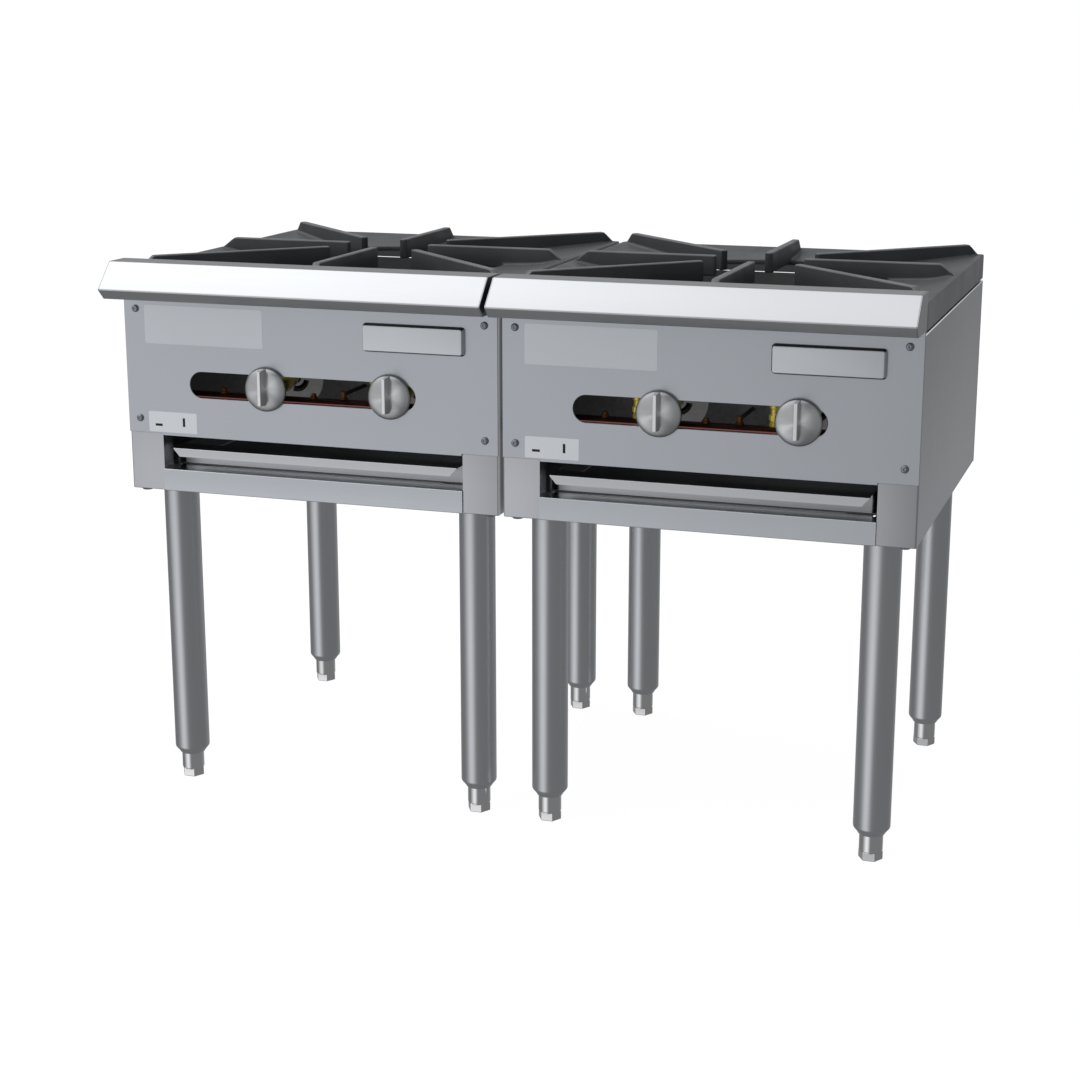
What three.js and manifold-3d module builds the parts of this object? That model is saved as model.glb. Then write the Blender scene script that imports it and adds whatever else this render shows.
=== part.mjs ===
// Stock pot range made of two equal open-burner sections that stand side by side.
// Millimetres, +Z up, +X to the right as seen from the front, the front faces -Y.
// X = 0 and Y = 0 are the middle of the outer box, and the feet stand on Z = 0.
import * as THREE from 'three';
import { ConvexGeometry } from 'three/addons/geometries/ConvexGeometry.js';
import { mergeVertices } from 'three/addons/utils/BufferGeometryUtils.js';
import Module from 'manifold-3d';

const wasm = await Module();
wasm.setup();

// ---------------------------------------------------------------- driving dimensions

// Body of one section. Inside a section X = 0 is its middle and Y = 0 its control panel's face.
const sectionWidth = 457.2;
const sectionGap = 5.2;
const bodyDepth = 467.9;
const bodyBottom = 367.4;
const bodyHeight = 224.95;
const sheet = 1.5;
const fit = 0.3; // clearance between pieces that seat on each other

// Side panels and tray opening
const frontFlange = 42.6;
const topFlange = 20;
const bottomFlange = 20;
const flangeReturn = 22.2; // the front flange is folded back along the tray opening
const backFlange = 10;
const trayOpeningHeight = 39.7;
const lowerBarHeight = 26;
const lowerBarShelf = 25;
const lowerBarTongue = 37; // the shelf's middle goes on to here, under the tray's front
const barTabReach = 14;
const panelLip = 13;
const panelSeamRise = 2.3; // the panel's lower edge is this much higher on the side flanges

// Control panel, slot and knobs
const slotCentreHeight = 127.6; // above the body's bottom
const slotHeight = 30.4;
const slotLeftReach = 96.8; // from the left knob to the slot's left end
const slotRightReach = 30.5; // from the right knob to the slot's right end
const leftKnobX = -50.8;
const rightKnobX = 100.9;
const knobRadius = 25.5;
const knobSkirt = 2;
const knobDome = 6;
const knobStandOff = 1;
const ridgeWidth = 4.8;
const ridgeStandOff = 11;
const ridgeTaper = 1.5;
const ridgeLowerReach = 18; // the ridge stops short of the knob's lower edge
const stemRadius = 4;
const plateWidth = 121.5;
const plateHeight = 32.4;
const plateThickness = 6;
const plateBevel = 2.4;
const plateX = 130.4;
const plateDrop = 31.55; // plate centre below the body's top
const plateCorner = 4.5;

// Front rail
const railTopRise = 44.75; // above the body's top
const railBottomRise = 3.85;
const railBack = 6.4;
const railTopDepth = 29.3; // where the flat top turns down, in front of the control panel
const railReach = 57.6; // nose in front of the control panel
const railNoseDrop = 29.1;
const railLip = 45.2;
const railHem = 12;

// Top grate
const grateGap = 2.75; // open slit between the body's top and the grate's skirt
const gratePlay = 0.6;
const skirtHeight = 29.3;
const skirtWall = 7;
const deckThickness = 6;
const rimLand = 5;
const rimRun = 20;
const rimDrop = 4.4;
const dishSlope = 0.042;
const mouthRadius = 150;
const mouthDrop = 7.9; // the mouth's edge below the rim
const finTopRise = 12.6; // above the rim
const finDepth = 24;
const finThickness = 9.5;
const finChamfer = 14.5;
const finSideChamfer = 18;
const finInnerSide = 52;
const finInnerFront = 45;
const finInnerCorner = 77.5;
const finCornerAngle = (44.6 * Math.PI) / 180; // from the X axis
const finSideInset = 21.4; // fin ends from the grate's sides
const finBackInset = 22.6;
const finFrontInset = 27;
const finCornerInset = 12.3;
const finSeatLength = 4; // fins reach this far under the deck, from the mouth
const finRootDepth = 3.9; // a fin's outer end goes this deep into the rim
const finToeDrop = 1.2;
const padLength = 16;
const padWidth = 12;
const padInset = 50;
const padFromSide = 3;
const padRoot = 3;

// Burners
const burnerOffset = 13.05; // burners, mouth and fins are centred behind the body's middle
const burnerDrop = 20.35; // burner tops below the body's top
const burnerDepth = 27;
const outerRingOuter = 140;
const outerRingInner = 112;
const innerRingOuter = 62;
const innerRingInner = 30;
const ringChamfer = 4;
const mixerRadius = 16;
const mixerBore = 13;
const mixerBoreDepth = 40;
const mixerMouthRadius = 20.5;
const mixerMouthLength = 13;
const shutterRadius = 34;
const shutterThickness = 1.6;
const shutterWindowInner = 9.5;
const shutterWindowOuter = 16.5;
const shutterWindowAngle = Math.PI * 0.55;
const shutterWindowTurn = -Math.PI * 0.6; // where the lower window starts
const lugWidth = 20;
const lugDepth = 11;
const lugDrop = 4; // the outer ring's lugs reach below the ring

// Burner cradle
const baffleGap = 12; // between the baffle and the outer ring
const baffleRise = 72.6; // baffle's lower edge above the body's bottom
const baffleDrop = 7.35; // baffle's upper edge below the body's top
const cradleArmX = 150;
const cradleArmDepth = 25;
const cradleArmShelf = 12;
const crossBarGap = 8; // cross bar behind the inner ring
const crossBarShelf = 15;

// Gas train
const manifoldY = 35;
const manifoldRise = 100.8; // manifold axis above the body's bottom
const pipeRadius = 13.35;
const fittingRadius = 16.5;
const inletFromSide = 28.6;
const inletCollar = 14;
const valveFace = 12;
const valveNeckRadius = 8;
const valveNeckLength = 18;
const valveBodyRadius = 11;
const hoodRadius = 7.5;
const hoodLength = 16;
const hoodGap = 5.8; // between the hood and the air shutter
const orificeRadius = 4;
const orificeLength = 10;
const valveArmReach = 33;
const valveArmRadius = 6;
const valveLegTop = 11;
const pilotX = 29.5;
const pilotDistance = 90; // pilot tip in front of the burners' centre
const pilotRadius = 2.4;
const pilotTapRadius = 5;
const pilotTapHeight = 9;
const pilotTapDrop = 3;
const pilotTipRadius = 4;
const pilotTipLength = 10;
const pilotTopDrop = 8; // below the burners' top

// Legs, feet and base frame
const legRadius = 20.65;
const legWall = 1.5;
const legInset = 41.2; // leg axis from the section's side
const frontLegY = 43.4;
const backLegY = 439.5;
const legBottom = 30;
const legSwage = 8.2;
const legSwageRadius = 14.9;
const footRadius = 13.2;
const footHexHeight = 9.8;
const footHexRadius = 13.7;
const footSoleRadius = 12.9;
const footEngagement = 82;
const framePlate = 2.5;
const frameRailWidth = 61;
const frameCrossDepth = 44;
const runnerShelf = 36.5;
const runnerGuide = 16; // the runners' outer edges rise beside the tray
const runnerGuideLead = 6; // and start this far in front of the runners
const runnerInset = 2.1;
const cornerBoltInset = 13.6; // bolts that hold the frame to the side panels' bottom flanges
const cornerBoltY = 12;
const cornerBoltRadius = 3;
const cornerBoltHead = 7;
const cornerBoltHeight = 2.4;

// Drip tray
const traySheet = 1.2;
const traySideGap = 9;
const trayFaceY = 34;
const trayLength = 400;
const trayHeight = 22.8;
const trayHandleY = 7; // the hand strip hangs in front of the tray's face
const trayHandleHeight = 10.1;
const trayHandleTip = 2.5;
const trayHandleMitre = 8.4;
const trayLift = 1.3; // running clearance above the lower bar

// Joining bolts
const boltRadius = 4;
const boltHeadRadius = 7.5;
const boltHeadLength = 5.5;
const boltShank = 13;
const collarRadius = 9;
const frontBoltY = 70;
const backBoltY = 410;
const boltRise = 45;

const roundSides = 16;
const fineSides = 10;
const legSides = 20;
const knobSides = 24;
const ringSides = 36;

// ---------------------------------------------------------------- derived sizes

const half = sectionWidth / 2;
const burnerY = bodyDepth / 2 + burnerOffset;
const inletX = half - inletFromSide;
const bodyTop = bodyBottom + bodyHeight;
const sectionPitch = sectionWidth + sectionGap;
const panelFaceY = railReach - (railReach + bodyDepth) / 2;

const lowerBarTop = bodyBottom + lowerBarHeight;
const openingTop = lowerBarTop + trayOpeningHeight;
const openingHalf = half - frontFlange;
const flangeFront = sheet + fit;
const flangeBack = flangeFront + sheet;
const backSheetFront = bodyDepth - sheet;
const wallInside = half - sheet;

const railTop = bodyTop + railTopRise;
const railBottom = bodyTop + railBottomRise;
const panelTop = railBottom - fit;
const slotZ = bodyBottom + slotCentreHeight;
const knobXs = { outer_ring: rightKnobX, inner_ring: leftKnobX };

const grateFront = railBack + gratePlay;
const skirtBottom = bodyTop + grateGap;
const rimTop = skirtBottom + skirtHeight;
const mouthEdge = rimTop - mouthDrop;
const finTop = rimTop + finTopRise;
const finBottom = finTop - finDepth;
const finOuterSide = half - finSideInset;
const finOuterBack = bodyDepth - burnerY - finBackInset;
const finOuterFront = burnerY - grateFront - finFrontInset;
const finOuterCorner = Math.SQRT2 * (Math.min(half, bodyDepth - burnerY) - finCornerInset);

const manifoldZ = bodyBottom + manifoldRise;
const manifoldTop = manifoldZ + pipeRadius;
const baffleY = burnerY - outerRingOuter - baffleGap;
const mixerMouthY = baffleY - fit - mixerMouthLength;
const shutterFront = mixerMouthY - fit - shutterThickness;
const hoodEnd = shutterFront - hoodGap;
const valveBodyEnd = hoodEnd - hoodLength;
const burnerTop = bodyTop - burnerDrop;
const burnerBottom = burnerTop - burnerDepth;
const armTop = burnerBottom - fit - lugDrop;
const armBottom = armTop - cradleArmDepth;
const baffleBottom = bodyBottom + baffleRise;
const baffleTop = bodyTop - baffleDrop;
const crossBarY = burnerY + innerRingOuter + crossBarGap;
const pilotY = burnerY - pilotDistance;

const frameBottom = bodyBottom + sheet + fit;
const frameTop = frameBottom + framePlate;
const frameFront = flangeBack + fit + sheet + fit;
const frameBack = backSheetFront - fit - sheet - fit;
const legX = half - legInset;
const legTop = frameBottom - fit;
const trayHalfWidth = openingHalf - traySideGap;
const trayBottom = lowerBarTop + trayLift;
const runnerTop = trayBottom - fit;
const trayRim = trayBottom + trayHeight;
const boltZ = bodyBottom + boltRise;

// ---------------------------------------------------------------- materials

function metal(red, green, blue, roughness, metalness) {
  const color = new THREE.Color().setRGB(red / 255, green / 255, blue / 255, THREE.SRGBColorSpace);
  return new THREE.MeshStandardMaterial({ color, roughness, metalness });
}

const finishes = {
  stainless: metal(166, 169, 175, 0.34, 0.9),
  galvanised: metal(128, 130, 134, 0.5, 0.8),
  castIron: metal(84, 86, 89, 0.75, 0.4),
  chrome: metal(205, 208, 212, 0.15, 1),
  brass: metal(176, 146, 62, 0.35, 0.9),
  pipe: metal(112, 74, 66, 0.6, 0.5),
  aluminised: metal(120, 121, 125, 0.5, 0.7),
  leg: metal(150, 152, 156, 0.3, 0.9),
  plate: metal(186, 189, 194, 0.25, 0.9),
  bolt: metal(140, 142, 146, 0.4, 0.9),
};

// ---------------------------------------------------------------- solids

function solid(geometry) {
  const bare = geometry.index ? geometry.toNonIndexed() : geometry.clone();
  bare.deleteAttribute('normal');
  bare.deleteAttribute('uv');
  const merged = mergeVertices(bare, 1e-4);
  return new wasm.Manifold(new wasm.Mesh({
    numProp: 3,
    vertProperties: new Float32Array(merged.attributes.position.array),
    triVerts: new Uint32Array(merged.index.array),
  }));
}

function join(...solids) {
  return solids.reduce((whole, piece) => whole.add(piece));
}

function cut(whole, ...tools) {
  return tools.reduce((rest, tool) => rest.subtract(tool), whole);
}

function box(x0, x1, y0, y1, z0, z1) {
  const geometry = new THREE.BoxGeometry(Math.abs(x1 - x0), Math.abs(y1 - y0), Math.abs(z1 - z0));
  geometry.translate((x0 + x1) / 2, (y0 + y1) / 2, (z0 + z1) / 2);
  return solid(geometry);
}

function hull(points) {
  return solid(new ConvexGeometry(points.map((point) => new THREE.Vector3(...point))));
}

// A rod from one point to another, with its own radius at each end.
function rod(start, end, startRadius, endRadius = startRadius, sides = roundSides) {
  const from = new THREE.Vector3(...start);
  const axis = new THREE.Vector3(...end).sub(from);
  const geometry = new THREE.CylinderGeometry(endRadius, startRadius, axis.length(), sides);
  geometry.translate(0, axis.length() / 2, 0);
  geometry.applyQuaternion(new THREE.Quaternion().setFromUnitVectors(
    new THREE.Vector3(0, 1, 0),
    axis.clone().normalize(),
  ));
  geometry.translate(from.x, from.y, from.z);
  return solid(geometry);
}

function ball(centre, radius, sides = roundSides) {
  const geometry = new THREE.SphereGeometry(radius, sides, sides / 2);
  geometry.translate(...centre);
  return solid(geometry);
}

// A profile of (radius, height) points turned about the vertical line through x, y.
function turned(profile, x, y, sides = roundSides, startAngle = 0) {
  const points = profile.map(([radius, height]) => new THREE.Vector2(radius, height));
  const geometry = new THREE.LatheGeometry(points, sides, startAngle);
  geometry.rotateX(Math.PI / 2);
  geometry.translate(x, y, 0);
  return solid(geometry);
}

// A profile of (radius, y) points turned about the line along Y through x, z.
function turnedAlongY(profile, x, z, sides = roundSides) {
  const points = profile.map(([radius, y]) => new THREE.Vector2(radius, y));
  const geometry = new THREE.LatheGeometry(points, sides);
  geometry.translate(x, 0, z);
  return solid(geometry);
}

// A profile of (y, z) points drawn out along X.
function prismAlongX(profile, x0, x1) {
  const shape = new THREE.Shape(profile.map(([y, z]) => new THREE.Vector2(y, z)));
  const geometry = new THREE.ExtrudeGeometry(shape, { depth: x1 - x0, bevelEnabled: false });
  geometry.rotateX(Math.PI / 2);
  geometry.rotateZ(Math.PI / 2);
  geometry.translate(x0, 0, 0);
  return solid(geometry);
}

// A box on one side of the section: side is 1 or -1, and the x values are distances from its middle.
function sideBox(side, nearX, farX, y0, y1, z0, z1) {
  return box(side * nearX, side * farX, y0, y1, z0, z1);
}

function named(name, piece, material) {
  const result = piece.getMesh();
  const geometry = new THREE.BufferGeometry();
  geometry.setAttribute('position', new THREE.BufferAttribute(new Float32Array(result.vertProperties), 3));
  geometry.setIndex(new THREE.BufferAttribute(new Uint32Array(result.triVerts), 1));
  geometry.computeVertexNormals();
  const mesh = new THREE.Mesh(geometry, material);
  mesh.name = name;
  return mesh;
}

// ---------------------------------------------------------------- top grate

// Everything above the dished deck, or above its underside when lowered by the deck's thickness.
function spaceAboveDish(lowered) {
  const slopeHeight = (radius) => mouthEdge - lowered + dishSlope * (radius - mouthRadius);
  const centreRadius = mouthRadius / 2;
  const farRadius = sectionWidth;
  const top = Math.max(slopeHeight(farRadius), finTop) + finDepth;
  return turned([
    [0, slopeHeight(centreRadius)],
    [centreRadius, slopeHeight(centreRadius)],
    [farRadius, slopeHeight(farRadius)],
    [farRadius, top],
    [0, top],
  ], 0, burnerY, ringSides);
}

// Everything above the sloping inner edge of the rim.
function spaceInsideRim() {
  const below = mouthDrop + 1;
  const above = 3;
  const corners = [[below, -below], [-above, above]].flatMap(([depth, rise]) => {
    const inset = rimLand + (depth * rimRun) / rimDrop;
    const right = half - inset;
    const front = grateFront + inset;
    const back = bodyDepth - inset;
    return [
      [-right, front, rimTop + rise],
      [right, front, rimTop + rise],
      [right, back, rimTop + rise],
      [-right, back, rimTop + rise],
    ];
  });
  return hull(corners);
}

function grateFin(angle, inner, outer, chamfer) {
  const tip = outer + chamfer;
  const root = rimTop - finRootDepth;
  const outline = [
    [inner, finBottom],
    [mouthRadius + finSeatLength, finBottom],
    [tip, root],
    [tip, rimTop - finToeDrop],
    [outer, finTop],
    [inner, finTop],
  ];
  const shape = new THREE.Shape(outline.map(([radius, height]) => new THREE.Vector2(radius, height)));
  const geometry = new THREE.ExtrudeGeometry(shape, { depth: finThickness, bevelEnabled: false });
  geometry.rotateX(Math.PI / 2);
  geometry.translate(0, finThickness / 2, 0);
  geometry.rotateZ(angle);
  geometry.translate(0, burnerY, 0);
  return solid(geometry);
}

function grateFins() {
  const cornerAngles = [finCornerAngle, Math.PI - finCornerAngle, Math.PI + finCornerAngle, -finCornerAngle];
  return [
    grateFin(0, finInnerSide, finOuterSide, finSideChamfer),
    grateFin(Math.PI, finInnerSide, finOuterSide, finSideChamfer),
    grateFin(Math.PI / 2, finInnerFront, finOuterBack, finChamfer),
    grateFin(-Math.PI / 2, finInnerFront, finOuterFront, finChamfer),
    ...cornerAngles.map((angle) => grateFin(angle, finInnerCorner, finOuterCorner, finChamfer)),
  ];
}

// Short pads under the skirt that stand on the side panels' top flanges.
function gratePads() {
  const outside = half - padFromSide;
  return [-1, 1].flatMap((side) => [grateFront + padInset, bodyDepth - padInset - padLength].map(
    (y) => sideBox(side, outside - padWidth, outside, y, y + padLength, bodyTop + fit, skirtBottom + padRoot),
  ));
}

function topGrate() {
  const block = box(-half, half, grateFront, bodyDepth, skirtBottom, rimTop);
  const dish = spaceAboveDish(0).intersect(spaceInsideRim());
  const insideSkirt = box(
    -half + skirtWall,
    half - skirtWall,
    grateFront + skirtWall,
    bodyDepth - skirtWall,
    skirtBottom - 1,
    rimTop - deckThickness,
  );
  const underside = insideSkirt.subtract(spaceAboveDish(deckThickness));
  const mouth = rod([0, burnerY, skirtBottom], [0, burnerY, finTop], mouthRadius, mouthRadius, ringSides);
  return join(cut(block, dish, underside, mouth), ...grateFins(), ...gratePads());
}

// ---------------------------------------------------------------- sheet metal body

function frontRail() {
  const corner = sheet * Math.tan(Math.PI / 8);
  const outline = [
    [railBack, railTop],
    [-railTopDepth, railTop],
    [-railReach, railTop - railNoseDrop],
    [-railLip, railBottom],
    [railBack, railBottom],
  ];
  const hollow = [
    [railBack - sheet, railTop - sheet],
    [-railTopDepth + corner, railTop - sheet],
    [-railReach + sheet * Math.SQRT2, railTop - railNoseDrop],
    [-railLip + corner, railBottom + sheet],
    [railBack - sheet, railBottom + sheet],
  ];
  const openBack = box(
    -half + 2 * sheet,
    half - 2 * sheet,
    railBack - 2 * sheet,
    railBack + sheet,
    railBottom + 2 * sheet,
    railTop - railHem,
  );
  return cut(
    prismAlongX(outline, -half, half),
    prismAlongX(hollow, -half + sheet, half - sheet),
    openBack,
  );
}

function controlPanel() {
  const lipHalf = openingHalf - fit;
  const slotRadius = slotHeight / 2;
  const slotLeft = leftKnobX - slotLeftReach + slotRadius;
  const slotRight = rightKnobX + slotRightReach - slotRadius;
  const through = sheet + 1;
  return cut(
    join(
      box(-half, half, 0, sheet, openingTop + panelSeamRise, panelTop),
      box(-half, half, 0, railBack, panelTop - sheet, panelTop),
      box(-lipHalf, lipHalf, 0, sheet, openingTop, openingTop + panelSeamRise + 1),
      box(-lipHalf, lipHalf, 0, panelLip, openingTop, openingTop + sheet),
    ),
    box(slotLeft, slotRight, -1, through, slotZ - slotRadius, slotZ + slotRadius),
    rod([slotLeft, -1, slotZ], [slotLeft, through, slotZ], slotRadius),
    rod([slotRight, -1, slotZ], [slotRight, through, slotZ], slotRadius),
  );
}

function lowerFrontBar() {
  const barHalf = openingHalf - fit;
  const tabFront = flangeBack + fit;
  const tab = (side) => sideBox(
    side,
    barHalf - barTabReach,
    barHalf + barTabReach,
    tabFront,
    tabFront + sheet,
    bodyBottom + sheet + 1,
    lowerBarTop - sheet / 2,
  );
  return join(
    box(-barHalf, barHalf, 0, sheet, bodyBottom, lowerBarTop),
    box(-barHalf, barHalf, 0, lowerBarShelf, lowerBarTop - sheet, lowerBarTop),
    box(-trayHalfWidth, trayHalfWidth, 0, lowerBarTongue, lowerBarTop - sheet, lowerBarTop),
    box(-barHalf, barHalf, 0, tabFront + sheet, bodyBottom, bodyBottom + sheet),
    tab(1),
    tab(-1),
  );
}

function sidePanel(side, facesNeighbour) {
  const back = backSheetFront - fit;
  const returnBack = flangeFront + flangeReturn;
  const whole = join(
    sideBox(side, wallInside, half, flangeFront, back, bodyBottom, bodyTop),
    sideBox(side, openingHalf, half, flangeFront, flangeBack, bodyBottom, bodyTop),
    sideBox(side, openingHalf, openingHalf + sheet, flangeFront, returnBack, lowerBarTop + fit, openingTop),
    sideBox(side, half - topFlange, half, flangeFront, back, bodyTop - sheet, bodyTop),
    sideBox(side, half - bottomFlange, half, flangeFront, back, bodyBottom, bodyBottom + sheet),
    sideBox(side, half - backFlange, half, back - sheet, back, bodyBottom, bodyTop),
  );
  const boltX = side * (half - cornerBoltInset);
  const drilled = whole.subtract(rod(
    [boltX, cornerBoltY, bodyBottom - 1],
    [boltX, cornerBoltY, bodyBottom + sheet + 1],
    cornerBoltRadius + fit,
  ));
  if (!facesNeighbour) {
    return drilled;
  }
  const hole = (y, z, radius) => rod([side * (wallInside - 1), y, z], [side * (half + 1), y, z], radius);
  return cut(
    drilled,
    hole(manifoldY, manifoldZ, pipeRadius + fit),
    hole(frontBoltY, boltZ, boltRadius + fit),
    hole(backBoltY, boltZ, boltRadius + fit),
  );
}

// The section that takes the gas supply has the inlet pipe's hole.
function backPanel(hasInlet) {
  const plate = box(-half, half, backSheetFront, bodyDepth, bodyBottom, bodyTop);
  if (!hasInlet) {
    return plate;
  }
  return plate.subtract(rod(
    [inletX, backSheetFront - 1, manifoldZ],
    [inletX, bodyDepth + 1, manifoldZ],
    pipeRadius + fit,
  ));
}

// A low round head under the bottom flange, on a shank that ends in the frame.
function cornerBolt(side) {
  const at = (z) => [side * (half - cornerBoltInset), cornerBoltY, z];
  const headTop = bodyBottom - fit;
  return join(
    rod(at(headTop - cornerBoltHeight), at(frameBottom + framePlate / 2), cornerBoltRadius),
    rod(at(headTop - cornerBoltHeight), at(headTop), cornerBoltHead - cornerBoltHeight / 2, cornerBoltHead),
  );
}

function baseFrame() {
  const outside = wallInside - fit;
  const inside = outside - frameRailWidth;
  const web = openingHalf - runnerInset;
  const runnerFront = lowerBarTongue + fit;
  const guideFront = runnerFront - runnerGuideLead;
  const rail = (side) => join(
    sideBox(side, inside, outside, frameFront, frameBack, frameBottom, frameTop),
    sideBox(side, web - framePlate, web, guideFront, frameBack, frameBottom, runnerTop + runnerGuide),
    sideBox(side, web - runnerShelf, web, runnerFront, frameBack, runnerTop - framePlate, runnerTop),
    cornerBolt(side),
  );
  const cross = (legY) => box(
    -outside,
    outside,
    legY - frameCrossDepth / 2,
    legY + frameCrossDepth / 2,
    frameBottom,
    frameTop,
  );
  return join(rail(1), rail(-1), cross(frontLegY), cross(backLegY - framePlate));
}

function namePlate() {
  const z = bodyTop - plateDrop;
  const reachX = plateWidth / 2 - plateCorner;
  const reachZ = plateHeight / 2 - plateCorner;
  const corners = [[1, 1, 0], [-1, 1, 1], [-1, -1, 2], [1, -1, 3]];
  const steps = [0, 1, 2, 3];
  const faceCorner = plateCorner - plateBevel;
  return hull(corners.flatMap(([signX, signZ, quarter]) => steps.flatMap((step) => {
    const angle = ((quarter + step / 3) * Math.PI) / 2;
    const at = (radius, y) => [
      plateX + signX * reachX + radius * Math.cos(angle),
      y,
      z + signZ * reachZ + radius * Math.sin(angle),
    ];
    return [at(faceCorner, -fit - plateThickness), at(plateCorner, -fit)];
  })));
}

// ---------------------------------------------------------------- legs and tray

function leg(side, y) {
  const bore = footRadius + fit;
  const inside = legRadius - legWall;
  const swageTop = legBottom + legSwage;
  return turned([
    [0, legTop - framePlate],
    [inside, legTop - framePlate],
    [inside, swageTop + legSwage],
    [bore, swageTop],
    [bore, legBottom],
    [legSwageRadius, legBottom],
    [legRadius, swageTop],
    [legRadius, legTop],
    [0, legTop],
  ], side * legX, y, legSides);
}

function foot(side, y) {
  const x = side * legX;
  const shaft = turned([
    [0, footHexHeight / 2],
    [footRadius, footHexHeight / 2],
    [footRadius, legBottom + footEngagement],
    [0, legBottom + footEngagement],
  ], x, y, legSides);
  const hexagon = turned([
    [0, 0],
    [footSoleRadius, 0],
    [footHexRadius, footHexRadius - footSoleRadius],
    [footHexRadius, footHexHeight],
    [0, footHexHeight],
  ], x, y, 6, Math.PI / 6);
  return join(shaft, hexagon);
}

// An open pan. Its top edge runs forward as a flange, and a hand strip hangs from the flange.
function dripTray() {
  const x = trayHalfWidth;
  const inside = x - traySheet;
  const back = trayFaceY + trayLength;
  const pan = cut(
    box(-x, x, trayHandleY, back, trayBottom, trayRim),
    box(-inside, inside, trayFaceY + traySheet, back - traySheet, trayBottom + traySheet, trayRim + 1),
    box(-x - 1, x + 1, trayHandleY - 1, trayFaceY, trayBottom - 1, trayRim - traySheet),
  );
  const stripHalf = x - traySheet / 2;
  const stripOutline = [
    [stripHalf, trayRim - traySheet / 2],
    [stripHalf, trayRim - trayHandleTip],
    [x - trayHandleMitre, trayRim - trayHandleHeight],
  ];
  const strip = hull(stripOutline.flatMap(([reach, z]) => [-1, 1].flatMap((side) => [
    [side * reach, trayHandleY, z],
    [side * reach, trayHandleY + traySheet, z],
  ])));
  return pan.add(strip);
}

// ---------------------------------------------------------------- burners and gas train

function ring(outer, inner) {
  return turned([
    [inner, burnerBottom],
    [outer, burnerBottom],
    [outer, burnerTop - ringChamfer],
    [outer - ringChamfer, burnerTop],
    [inner + ringChamfer, burnerTop],
    [inner, burnerTop - ringChamfer],
    [inner, burnerBottom],
  ], 0, burnerY, ringSides);
}

// Mixer tube: a flanged mouth in front of the baffle, a straight run and a riser into the ring.
function mixerTube(x, riserY) {
  const tube = join(
    rod([x, mixerMouthY, slotZ], [x, baffleY - fit, slotZ], mixerMouthRadius),
    rod([x, baffleY - 1, slotZ], [x, riserY, slotZ], mixerRadius - fit),
    ball([x, riserY, slotZ], mixerRadius - fit),
    rod([x, riserY, slotZ], [x, riserY, burnerBottom + 1], mixerRadius - fit, mixerBore),
  );
  const bore = rod([x, mixerMouthY - 1, slotZ], [x, mixerMouthY + mixerBoreDepth, slotZ], mixerBore);
  return cut(tube, bore);
}

function ringMiddleY(x, outer, inner) {
  const middle = (outer + inner) / 2;
  return burnerY - Math.sqrt(middle * middle - x * x);
}

function outerBurner() {
  const lug = (side) => sideBox(
    side,
    outerRingOuter - lugDepth,
    cradleArmX,
    burnerY - lugWidth / 2,
    burnerY + lugWidth / 2,
    armTop + fit,
    burnerBottom + lugDepth,
  );
  const riserY = ringMiddleY(rightKnobX, outerRingOuter, outerRingInner);
  return join(ring(outerRingOuter, outerRingInner), lug(1), lug(-1), mixerTube(rightKnobX, riserY));
}

function innerBurner() {
  const rearLug = box(
    -lugWidth / 2,
    lugWidth / 2,
    burnerY + innerRingOuter - lugDepth,
    crossBarY + crossBarShelf,
    burnerBottom,
    burnerBottom + lugDepth,
  );
  return join(ring(innerRingOuter, innerRingInner), rearLug, mixerTube(leftKnobX, burnerY));
}

// Heat baffle behind the valves, with two arms and a cross bar that carry the burners.
function burnerCradle(hasInlet) {
  const outside = wallInside - fit;
  const armBack = backSheetFront - fit;
  const baffle = box(-outside, outside, baffleY, baffleY + sheet, baffleBottom, baffleTop);
  const shelfX = cradleArmX - cradleArmShelf;
  const arm = (side) => join(
    sideBox(side, cradleArmX, cradleArmX + sheet, baffleY, armBack, armBottom, armTop),
    sideBox(side, shelfX, cradleArmX + sheet, baffleY, armBack, armTop - sheet, armTop),
  );
  const barTop = burnerBottom - fit;
  const bar = join(
    box(-cradleArmX, cradleArmX, crossBarY, crossBarY + sheet, armBottom, barTop),
    box(-cradleArmX, cradleArmX, crossBarY, crossBarY + crossBarShelf, barTop - sheet, barTop),
  );
  const hole = (x, z, radius) => rod([x, baffleY - 1, z], [x, baffleY + sheet + 1, z], radius);
  const cradle = cut(
    join(baffle, arm(1), arm(-1), bar),
    hole(leftKnobX, slotZ, mixerRadius),
    hole(rightKnobX, slotZ, mixerRadius),
    hole(pilotX, manifoldTop + pilotTapHeight - pilotTapDrop, pilotRadius + fit),
  );
  return hasInlet ? cut(cradle, hole(inletX, manifoldZ, pipeRadius + fit)) : cradle;
}

function gasValve(x) {
  const point = (y) => [x, y, slotZ];
  const legX0 = x - valveArmReach;
  return join(
    rod(point(valveFace), point(valveFace + valveNeckLength), valveNeckRadius),
    rod(point(valveFace + valveNeckLength), point(valveBodyEnd), valveBodyRadius),
    rod(point(valveBodyEnd - 1), point(hoodEnd), hoodRadius, hoodRadius, 6),
    rod(point(hoodEnd - 1), point(hoodEnd + orificeLength), orificeRadius, orificeRadius / 2),
    rod(point(manifoldY), [legX0, manifoldY, slotZ], valveArmRadius),
    rod([legX0, manifoldY, manifoldTop + fit], [legX0, manifoldY, slotZ + valveLegTop], valveArmRadius),
  );
}

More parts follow.
